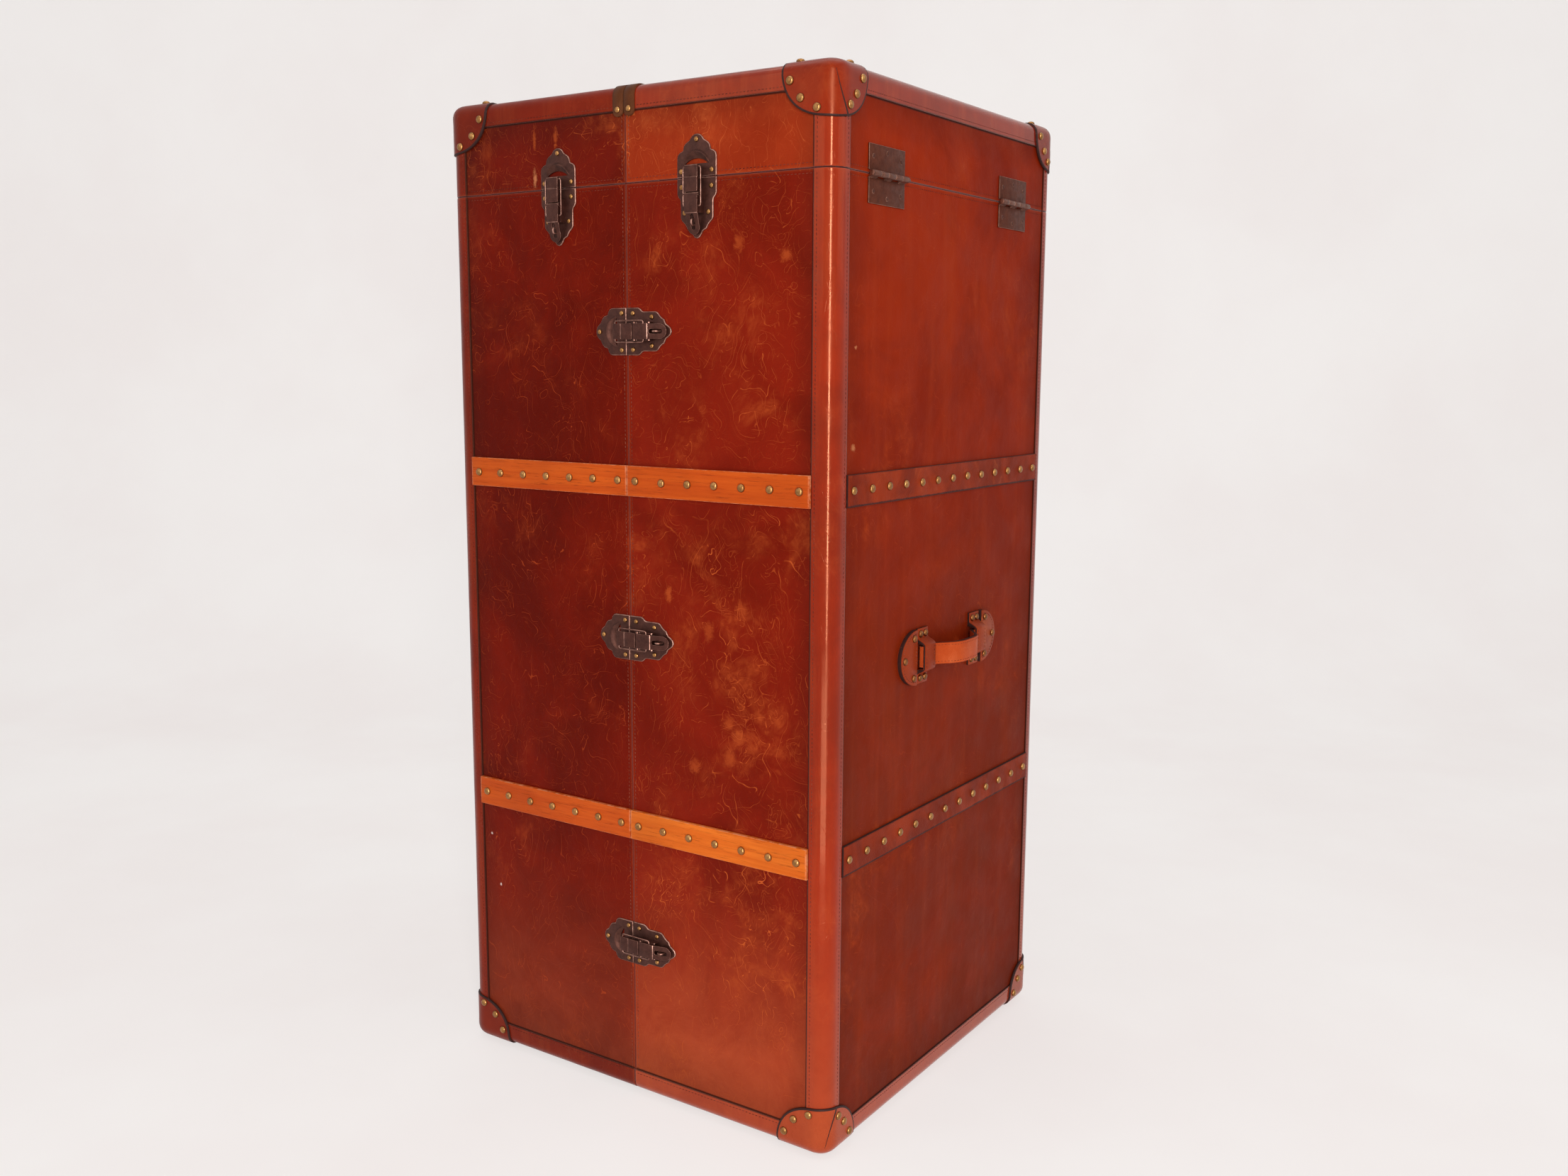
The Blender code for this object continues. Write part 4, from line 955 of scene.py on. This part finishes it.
def screw(at, normal, along, radius=0.0026):
    """Countersunk screw: a low head, with its slot as a dark strip of painted shade."""
    normal, along = Vector(normal), Vector(along)
    across = normal.cross(along)

    def place(a, b, c):
        return tuple(Vector(at) + normal * c + along * a * 0.8 * radius + across * b * 0.0003)

    # The slot: a dark strip on the head, painted shade.
    slot = plate(((-1, -1), (1, -1), (1, 1), (-1, 1)), 0.0002, 0.00058, place)
    return [(dome(at, normal, radius, 0.0005, 16, 3), "hinge"), ((*slot, {"rim": [1.0] * 8}), "edge")]


def lid_hinge(word, s, where, middle):
    rise = RELIEF + LID_AXIS
    half = HINGE_LENGTH / 2
    step = HINGE_LENGTH / KNUCKLES
    for index, (level, way, body) in enumerate((("lower", -1, f"{word}_half"), ("upper", 1, f"{word}_lid"))):

        def place(a, b, c, way=way):
            return (s * (SIDE_X + c), middle + a, SEAM_Z + way * b)

        name = f"{word}_{where}_hinge_{level}"
        clear = HINGE_BARREL + 0.0004
        leaf = [(-half, clear), (half, clear), (half, HINGE_LEAF), (-half, HINGE_LEAF)]
        parts = [(plate(leaf, 0.0, GAP + LEAF_THICK, place), "hinge")]
        profile = arc((0.0, rise), HINGE_BARREL, 200, -20, 14)
        profile += [(clear + 0.001, GAP + LEAF_THICK), (clear + 0.001, GAP), (0.0, rise - HINGE_BARREL)]
        for k in range(index, KNUCKLES, 2):
            low = -half + k * step + 0.0003
            rings = [[place(a, b, c) for b, c in profile] for a in (low, low + step - 0.0006)]
            parts.append((loft(rings), "knuckle"))
        if index == 0:
            ends = (-half - 0.0004, half + 0.004)
            pin = [[place(a, b, rise + c) for b, c in circle(0.0017, 14)] for a in ends]
            parts.append((loft(pin), "knuckle"))
            parts.append((dome(place(-half, 0.0, rise), (0, -1, 0), 0.0034, 0.0016, 16), "knuckle"))
        for a, b in ((-0.029, 0.018), (0.029, 0.018), (0.0, 0.0235)):
            turn = random.uniform(0, 3.1)
            along = (0.0, math.cos(turn), math.sin(turn))
            parts += screw(place(a, b, GAP + LEAF_THICK), (s, 0, 0), along)
        paint = worn_and_highlit_edges((s, 0, 0))
        piece(name + "_leaf", parts, body, [name], bevel=0.0003, sharp=35, paint=paint)


# Draw latches, given along the latch from the seam, across it, and out from the leather.

CATCH_EDGE = ((21, 26.5), (24.5, 25.5), (27, 22.5), (28.2, 18.8), (30, 18.3), (33.5, 17.3), (36, 15))
CATCH_EDGE += ((38, 11.5), (39, 9.6), (41, 8.2), (43.5, 6), (44.9, 3), (45.3, 0))
PLATE_EDGE = ((17, 26.5), (20, 25), (22.5, 22.6), (25, 22), (42, 22), (45, 20.5), (48.5, 16.5), (51, 14.6))
PLATE_EDGE += ((54, 13), (55.3, 10), (56.5, 8), (60, 6), (63, 3.5), (64.3, 0))


def plate_edge(corners, way):
    """Whole outline from one edge, given in millimetres from the seam to the tip."""
    edge = [(way * SEAM / 2, PLATE_HALF)] + [(way * u / 1000, v / 1000) for u, v in corners]
    return edge + [(u, -v) for u, v in edge[::-1] if v]


def bow(tip, wide, middle, steps):
    sag = tip - middle
    radius = (wide * wide + sag * sag) / (2 * sag)
    end = math.degrees(math.asin(wide / radius))
    end = end if middle + radius > tip else 180 - end
    return arc((middle + radius, 0.0), radius, 180 - end, 180 + end, steps)


def worn_and_highlit_edges(way):
    """Paint that gives rounded and slanting metal faces worn metal with a painted highlight; way is the
    outward direction.
    """
    def paint(face, look):
        turned = face.normal.dot(Vector(way))
        if look in ("bronze", "hinge") and 0.22 < turned < 0.95:
            return "worn_" + look
        return look
    return paint


def rivets(spots, top, place, outward):
    return [(dome(place(u, v, top), outward, *RIVET, 16), "brass") for u, v in spots]


def rounded_path(corners, radius, steps=5):
    """Path with its inner corners rounded."""
    path = [Vector(corners[0])]
    for before, at, after in zip(corners, corners[1:], corners[2:]):
        at = Vector(at)
        start = at + (Vector(before) - at).normalized() * radius
        stop = at + (Vector(after) - at).normalized() * radius
        for share in spread(0.0, 1.0, steps):
            first = start * (1 - share) + at * share
            second = at * (1 - share) + stop * share
            path.append(first * (1 - share) + second * share)
    path.append(Vector(corners[-1]))
    return path


def inward(outline, distance):
    """Outline moved in by a distance."""
    area = sum(a[0] * b[1] - b[0] * a[1] for a, b in zip(outline, outline[1:] + outline[:1]))
    way = 1 if area > 0 else -1
    moved = []
    for i, at in enumerate(outline):
        before, after = outline[i - 1], outline[(i + 1) % len(outline)]
        one = Vector((at[0] - before[0], at[1] - before[1])).normalized()
        two = Vector((after[0] - at[0], after[1] - at[1])).normalized()
        normal = Vector((-one.y - two.y, one.x + two.x)) * way
        normal *= distance / max(0.6 * normal.length, normal.length_squared / 2)
        moved.append((at[0] + normal.x, at[1] + normal.y))
    return moved


def stamped(outline, top, place, holes=()):
    """Stamped plate whose edge is rounded over."""
    levels = ((0.0, 0.0), (0.0, 0.45 * top), (0.0003, 0.72 * top), (0.0008, 0.92 * top), (0.0015, top))
    rings = [[place(u, v, w) for u, v in inward(outline, inset)] for inset, w in levels]
    points, faces = loft(rings)
    faces.pop(1)
    face = inward(outline, levels[-1][0])
    loops = [face, *holes]
    flat = [spot for loop in loops for spot in loop]
    start = len(points) - len(outline)
    points = points + [place(u, v, top) for u, v in flat[len(outline):]]
    corners = tessellate_polygon([[Vector((u, v, 0.0)) for u, v in loop] for loop in loops])
    faces += [tuple(start + i for i in corner) for corner in corners]
    first = start + len(outline)
    for hole in holes:
        low = len(points)
        points += [place(u, v, -0.0002) for u, v in hole]
        for i in range(len(hole)):
            j = (i + 1) % len(hole)
            faces.append((first + i, first + j, low + j, low + i))
        first += len(hole)
    return points, faces


def latch(name, place, catch_body, plate_body):
    top = GAP + PLATE_THICK
    outward = (0, -1, 0)
    paint = worn_and_highlit_edges(outward)

    def along(u, w, v):
        return place(u, v, w)

    # Catch plate: a raised crescent round an opening that shows the leather.
    tip, wide = -0.0140, 0.0172
    opening = bow(tip, wide - 0.0016, -0.0196, 16)
    parts = [(stamped(plate_edge(CATCH_EDGE, -1), top, place, [opening]), "bronze")]
    outer, inner = bow(tip, wide, -0.0268, 28), bow(tip + 0.0002, wide - 0.0013, -0.0198, 28)
    rings = []
    for k, ((u0, v0), (u1, v1)) in enumerate(zip(outer, inner)):
        high = (HOOD_TOP - top) * max(0.03, 1 - abs(k / 14 - 1) ** 2.4)
        profile = [(-0.34, -0.0003), (-0.20, 0.34), (-0.07, 0.84), (0.03, 1.0), (0.12, 0.93)]
        profile += [(0.42, 0.52), (0.75, 0.16), (1.0, 0.02), (1.0, -0.0003)]
        ring = []
        for t, h in profile:
            lift = h if h < 0 else h * high
            ring.append(place(u0 + (u1 - u0) * t, v0 + (v1 - v0) * t, top + lift))
        rings.append(ring)
    parts.append((loft(rings), "hood"))
    parts += rivets(((-0.0395, 0.0), (-0.0067, 0.0205), (-0.0067, -0.0205)), top, place, outward)
    piece(f"{name}_catch_plate", parts, catch_body, [f"{name}_catch"], sharp=38, paint=paint)

    # Latch plate with side walls, pivot and staple.
    parts = [(stamped(plate_edge(PLATE_EDGE, 1), top, place), "bronze")]
    ear = LEVER_HALF + GAP
    wall_top = BAIL[1] - BAIL_RADIUS - 0.0006
    wall = [(PIVOT[0] - EAR_REACH, top - GAP), (LEVER_END, top - GAP), (LEVER_END, wall_top - 0.0010)]
    wall += [(LEVER_END - 0.0010, wall_top), (PIVOT[0] + 0.0026, wall_top)]
    wall += arc(PIVOT, 2 * PIVOT_RADIUS, -30, 210, 12)
    wall += [(PIVOT[0] - 0.0026, wall_top), (PIVOT[0] - EAR_REACH, wall_top)]
    for way in (-1, 1):
        parts.append((plate(wall, way * ear, way * (ear + EAR_THICK), along), "bronze"))
        ends = way * (ear + 0.5 * EAR_THICK), way * (ear + EAR_THICK + 0.0003)
        parts.append((plate(circle(0.0012, 14, PIVOT), *ends, along), "bronze"))
    parts.append((plate(circle(PIVOT_RADIUS, 12, PIVOT), -ear, ear, along), "bronze"))
    reach, thin = 0.0033, 0.0011
    loop = [(STAPLE_PLACE - reach, top - 0.0006), (STAPLE_PLACE - reach, STAPLE_TOP - thin - reach)]
    loop += arc((STAPLE_PLACE, STAPLE_TOP - thin - reach), reach, 180, 0, 12)[1:]
    loop += [(STAPLE_PLACE + reach, top - 0.0006)]
    # The staple is worn metal throughout, partly a painted highlight.
    parts.append((tube([along(u, w, 0.0) for u, w in loop], thin, 10), "worn_bronze"))
    spots = [(u, way * v) for u, v in ((0.0097, 0.0201), (0.0368, 0.0159)) for way in (-1, 1)]
    parts += rivets(spots, top, place, outward)
    piece(f"{name}_back_plate", parts, plate_body, [f"{name}_plate"], sharp=38, paint=paint)

    # Lever with its sloping, slotted tongue.
    start, high = PIVOT[0] - LEVER_THICK / 2, LEVER_RISE + LEVER_THICK
    outline = [(start, LEVER_RISE), (LEVER_END, LEVER_RISE), (LEVER_END, high - 0.0006)]
    outline += [(LEVER_END - 0.0008, high), (start + 0.0012, high), (start, high - 0.0012)]
    block = plate(outline, -LEVER_HALF, LEVER_HALF, along)
    wide = 0.96 * LEVER_HALF
    root, tail = LEVER_END - LEVER_THICK / 2, 0.94 * PLATE_LENGTH - wide
    level = PIVOT[1] - 0.4 * TONGUE_THICK

    def sloping(u, v, w):
        return place(u, v, w - TONGUE_SLOPE * (u - root))

    outline = [(root, -wide), *arc((tail, 0.0), wide, -90, 90, 18), (root, wide)]
    slot = arc((STAPLE_PLACE + 0.0055, 0.0), 0.0027, -90, 90, 8)
    slot += arc((STAPLE_PLACE - 0.0055, 0.0), 0.0027, 90, 270, 8)
    tongue = plate(outline, level, level + TONGUE_THICK, sloping, [slot])
    arm = [(block, "bronze"), (tongue, "bronze")]
    piece(f"{name}_lever_arm", arm, f"{name}_lever", [f"{name}_lever"], 0.0006, 3, 38, paint=paint)

    # Draw hook, in two steps, on its wire bail.
    low = PIVOT[1] - 0.00165
    front, back = -0.0120, start - 0.0006
    profile = [(front, low), (front, high - 0.0012), (front + 0.0007, high - 0.0005)]
    profile += [(-0.0004, high - 0.0003), (-0.0003, high - 0.0011), (0.0003, high - 0.0011)]
    profile += [(0.0004, high - 0.0003), (0.0008, high), (back, high), (back, low)]
    hook = plate(profile, -LEVER_HALF, LEVER_HALF, along)
    inset, end = 0.75 * LEVER_HALF, -0.0098
    corners = [(BAIL[0], inset), (BAIL[0], BAIL_HALF), (end, BAIL_HALF)]
    corners += [(u, -v) for u, v in corners[::-1]]
    path = rounded_path([place(u, v, BAIL[1] - 0.0006) for u, v in corners], 0.0026)
    parts = [(hook, "bronze"), (tube(path, 0.00095), "bronze")]
    node = f"{name}_hook"
    piece(f"{node}_and_bail", parts, node, [node], 0.0004, 3, 38, paint=paint)


# Handles.

def handle(word, s):
    def place(a, b, c):
        return (s * (SIDE_X + c), a, BAND_MIDDLE + b)

    def bent(a, c, b):
        return place(a, b, c)

    def across(b, c, a):
        return place(a, b, c)

    out = Vector((s, 0, 0))
    parts, seams = [], []
    sunk, thin = GRIP_THICK / 6, 0.35 * LOOP_THICK
    plate_top = GAP + HANDLE_PLATE
    crest = plate_top + GRIP_THICK - sunk
    foot, brow = 0.62 * HANDLE_HALF, 0.53 * HANDLE_HALF
    for way in (-1, 1):
        flat = way * HANDLE_SPAN / 2
        outline = arc((flat, 0.0), (way * HANDLE_END, HANDLE_HALF), -90, 90, 28)
        parts.append((plate(outline, 0.0, plate_top, place), "loop"))
        size = (way * (HANDLE_END - 0.0068), HANDLE_HALF - 0.0042)
        border = arc((flat + way * 0.0032, 0.0), size, -90, 90, 24)
        seams.append(([place(a, b, plate_top) for a, b in border + border[:1]], out))
        hat = [(-HANDLE_HALF, 0.0), (-HANDLE_HALF, GAP + LOOP_THICK)]
        start, stop = foot + 0.0016, brow - 0.0040
        for share in spread(0.0, 1.0, 9):
            rise = crest * smooth(0.0, 1.0, share ** 0.7)
            hat.append((-start + (start - stop) * share, GAP + LOOP_THICK + rise - GAP * share))
        hat += [(-b, c) for b, c in hat[::-1]]
        inner = [(brow - thin, 0.0), (brow - LOOP_THICK, crest)]
        hat += inner + [(-b, c) for b, c in inner[::-1]]
        near = flat - way * LOOP_INSET
        far = near - way * LOOP_WIDTH
        parts.append((plate(hat, near, far, across), "loop"))
        for spot in (near - way * 0.0032, far + way * 0.0032):
            seams.append(([place(spot, b, crest + LOOP_THICK) for b in (-brow + 0.004, brow - 0.004)], out))
        for b in (-0.0262, 0.0262):
            for a in (near - way * 0.0068, near - way * 0.0182):
                parts.append((dome(place(a, b, GAP + LOOP_THICK), out, *HANDLE_NAIL), "old_brass"))
        for a, b in ((0.0085, -0.0235), (0.0085, 0.0235), (0.0300, 0.0)):
            parts.append((dome(place(flat + way * a, b, plate_top), out, *HANDLE_NAIL), "old_brass"))
    end = HANDLE_SPAN / 2 - LOOP_INSET - 0.0015
    flat = HANDLE_SPAN / 2 - LOOP_INSET - LOOP_WIDTH
    low = plate_top - sunk
    under = [(-end, low), (-flat - 0.002, low)]
    for share in spread(-0.96, 0.96, 33):
        lift = 0.5 + 0.5 * math.cos(math.pi * abs(share) ** 1.8)
        under.append((share * flat, low + (GRIP_BOW - low) * lift))
    under += [(flat + 0.002, low), (end, low)]
    over = [(a, c + GRIP_THICK) for a, c in under]
    parts.append((plate(under + over[::-1], -GRIP_HALF, GRIP_HALF, bent), "grip"))
    middle = [(a, c) for a, c in over if abs(a) < flat]
    for b in (-GRIP_HALF + 0.0030, GRIP_HALF - 0.0030):
        seams.append(([place(a, b, c - 0.0001) for a, c in middle], out))

    def paint(face, found):
        x, y, z = (abs(value) for value in face.normal)
        cut = {"grip": z > 0.75, "loop": x <= 0.1 and y + z > 0.8}
        return "edge" if cut.get(found) else found

    name = f"{word}_handle"
    piece(name + "_leather", parts, f"{word}_half", [name], bevel=0.0007, paint=paint)
    sewn = [(stitches(path, normal, 0.0042, 0.0028, 0.0004, 0.0004), "pale_thread") for path, normal in seams]
    piece(name + "_stitches", sewn, f"{word}_half")


# Inside: the solids with eased edges.

def eased(node, body, look, width=0.0008):
    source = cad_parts[node]
    work = bmesh.new()
    work.from_mesh(source.data)
    bmesh.ops.remove_doubles(work, verts=work.verts, dist=0.000005)
    bmesh.ops.dissolve_limit(work, angle_limit=math.radians(1.0), verts=work.verts, edges=work.edges)
    points = [tuple(v.co) for v in work.verts]
    work.verts.index_update()
    faces = [tuple(v.index for v in face.verts) for face in work.faces]
    work.free()
    piece(f"{node}_finished", [((points, faces), look)], body, [node], bevel=width, sharp=35)


def recolour(node, look):
    """Finish of a solid that shows as it is."""
    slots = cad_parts[node].data.materials
    slots.clear()
    slots.append(MATERIALS[look])


for word, side in SIDES:
    recolour(f"{word}_case", "lining")
    recolour(f"{word}_lid", "lining")
    case_skin(word, side)
    lid_skin(word, side)
    sewing(word, side)
    bands(word, side)
    for where, end in (("front", -1), ("rear", 1)):
        for top in (False, True):
            cap(word, side, where, end, top)
    tab(word, side)
    lid_hinge(word, side, "front", -HALF_D + FRONT_LID_HINGE)
    lid_hinge(word, side, "rear", HALF_D - REAR_LID_HINGE)
    handle(word, side)

    def upright(u, v, w, side=side):
        return (side * LID_LATCH_PLACE + v, FRONT_Y - w, SEAM_Z - u)

    latch(f"{word}_lid_latch", upright, f"{word}_lid", f"{word}_half")
    eased(f"{word}_counter", f"{word}_half", "board")
    eased(f"{word}_shelf", f"{word}_half", "board")
    recolour(f"back_hinge_{word}", "hinge")

for word, height in CENTRE_LATCHES.items():

    def level(u, v, w, height=height):
        return (u, FRONT_Y - w, height + v)

    latch(f"{word}_latch", level, "left_half", "right_half")

eased("drawer", "drawer", "board")
eased("left_bottle_rail", "left_half", "brass", 0.0002)


# Floor and backdrop, light and camera.

# The camera that fits the photo: place, directions, and focal length and width in the photo's pixels.
CAMERA_AT = Vector((1.0657, -1.5333, 0.8865))
FORWARD = Vector((-0.55056, 0.82049, -0.15388))
RIGHT = Vector((0.82990, 0.55788, 0.00540))
UP = Vector((-0.09027, 0.12473, 0.98808))
FOCAL, PHOTO_WIDTH, SENSOR = 2022.9, 2212, 36.0
# Strength of the world as a light and as a background.
WORLD_LIGHT, WORLD_SEEN = 0.25, 0.88


def backdrop():
    """Pale floor that curves up into a wall behind the trunk."""
    away = Vector((FORWARD.x, FORWARD.y, 0.0)).normalized()
    over = Vector((-away.y, away.x, 0.0))
    near, bend, curve, high, half = -6.0, 1.6, 0.9, 6.0, 7.0
    profile = [(near, 0.0), (bend, 0.0)]
    profile += [(bend + f, curve + z) for f, z in arc((0.0, 0.0), curve, -90, 0, 16)[1:]]
    profile.append((bend + curve, high))
    points, faces = [], []
    for run, height in profile:
        for wide in (-half, half):
            points.append(tuple(away * run + over * wide + Vector((0.0, 0.0, height))))
    for i in range(len(profile) - 1):
        faces.append((2 * i, 2 * i + 2, 2 * i + 3, 2 * i + 1))
    mesh = bpy.data.meshes.new("backdrop")
    mesh.from_pydata(points, [], faces)
    mesh.shade_smooth()
    g = Graph(bpy.data.materials.new("backdrop"))
    tone = g.mix(g.ramp(g.noise(1.3, 4.0, 0.6), 0.3, 0.7), (248, 242, 240), (251, 247, 245))
    glow = g.node("Emission", {"Color": tone, "Strength": 1.0}).outputs[0]
    mesh.materials.append(g.finish(tone, 0.75))
    shares = {0: g.times(g.seen(), 0.7), 1: g.tree.nodes["Principled BSDF"].outputs[0], 2: glow}
    g.feed(g.tree.nodes["Material Output"].inputs["Surface"], g.node("MixShader", shares).outputs[0])
    made = bpy.data.objects.new("backdrop", mesh)
    bpy.context.scene.collection.objects.link(made)


def lamp(name, at, target, size, energy, colour=(1.0, 1.0, 1.0)):
    data = bpy.data.lights.new(name, "AREA")
    data.shape = "RECTANGLE"
    data.size, data.size_y = size
    data.energy = energy
    data.color = colour
    made = bpy.data.objects.new(name, data)
    made.location = at
    made.rotation_euler = (Vector(target) - Vector(at)).to_track_quat("-Z", "Y").to_euler()
    made.visible_camera = False
    bpy.context.scene.collection.objects.link(made)


backdrop()
lamp("key", (2.05, -2.35, 1.25), (0.1, -0.1, 0.65), (0.32, 2.4), 60.0, (1.0, 0.98, 0.96))
lamp("left", (-0.9, -3.2, 2.2), (0.0, 0.0, 0.6), (2.4, 2.4), 12.0)
lamp("right", (3.0, 0.4, 2.2), (0.0, 0.0, 0.6), (2.4, 2.4), 12.0)
lamp("above", (0.2, -0.3, 3.2), (0.0, 0.0, 0.6), (2.4, 2.4), 20.0)
lamp("bounce", (0.75, -1.10, 0.03), (0.2, -0.15, 0.25), (0.6, 0.6), 4.5, (1.0, 0.96, 0.93))

g = Graph(bpy.data.worlds.new("studio"))
sky = g.tree.nodes["Background"].inputs
g.feed(sky["Color"], (1.0, 0.98, 0.965, 1.0))
g.feed(sky["Strength"], g.ramp(g.seen(), 0.0, 1.0, WORLD_LIGHT, WORLD_SEEN))
bpy.context.scene.world = g.owner

data = bpy.data.cameras.new("camera")
data.sensor_fit = "HORIZONTAL"
data.sensor_width = SENSOR
data.lens = SENSOR * FOCAL / PHOTO_WIDTH
camera = bpy.data.objects.new("camera", data)
turn = Matrix((RIGHT, UP, -FORWARD)).transposed()
camera.matrix_world = Matrix.Translation(CAMERA_AT) @ turn.to_4x4()
bpy.context.scene.collection.objects.link(camera)
bpy.context.scene.camera = camera
bpy.context.scene.view_settings.view_transform = "Standard"
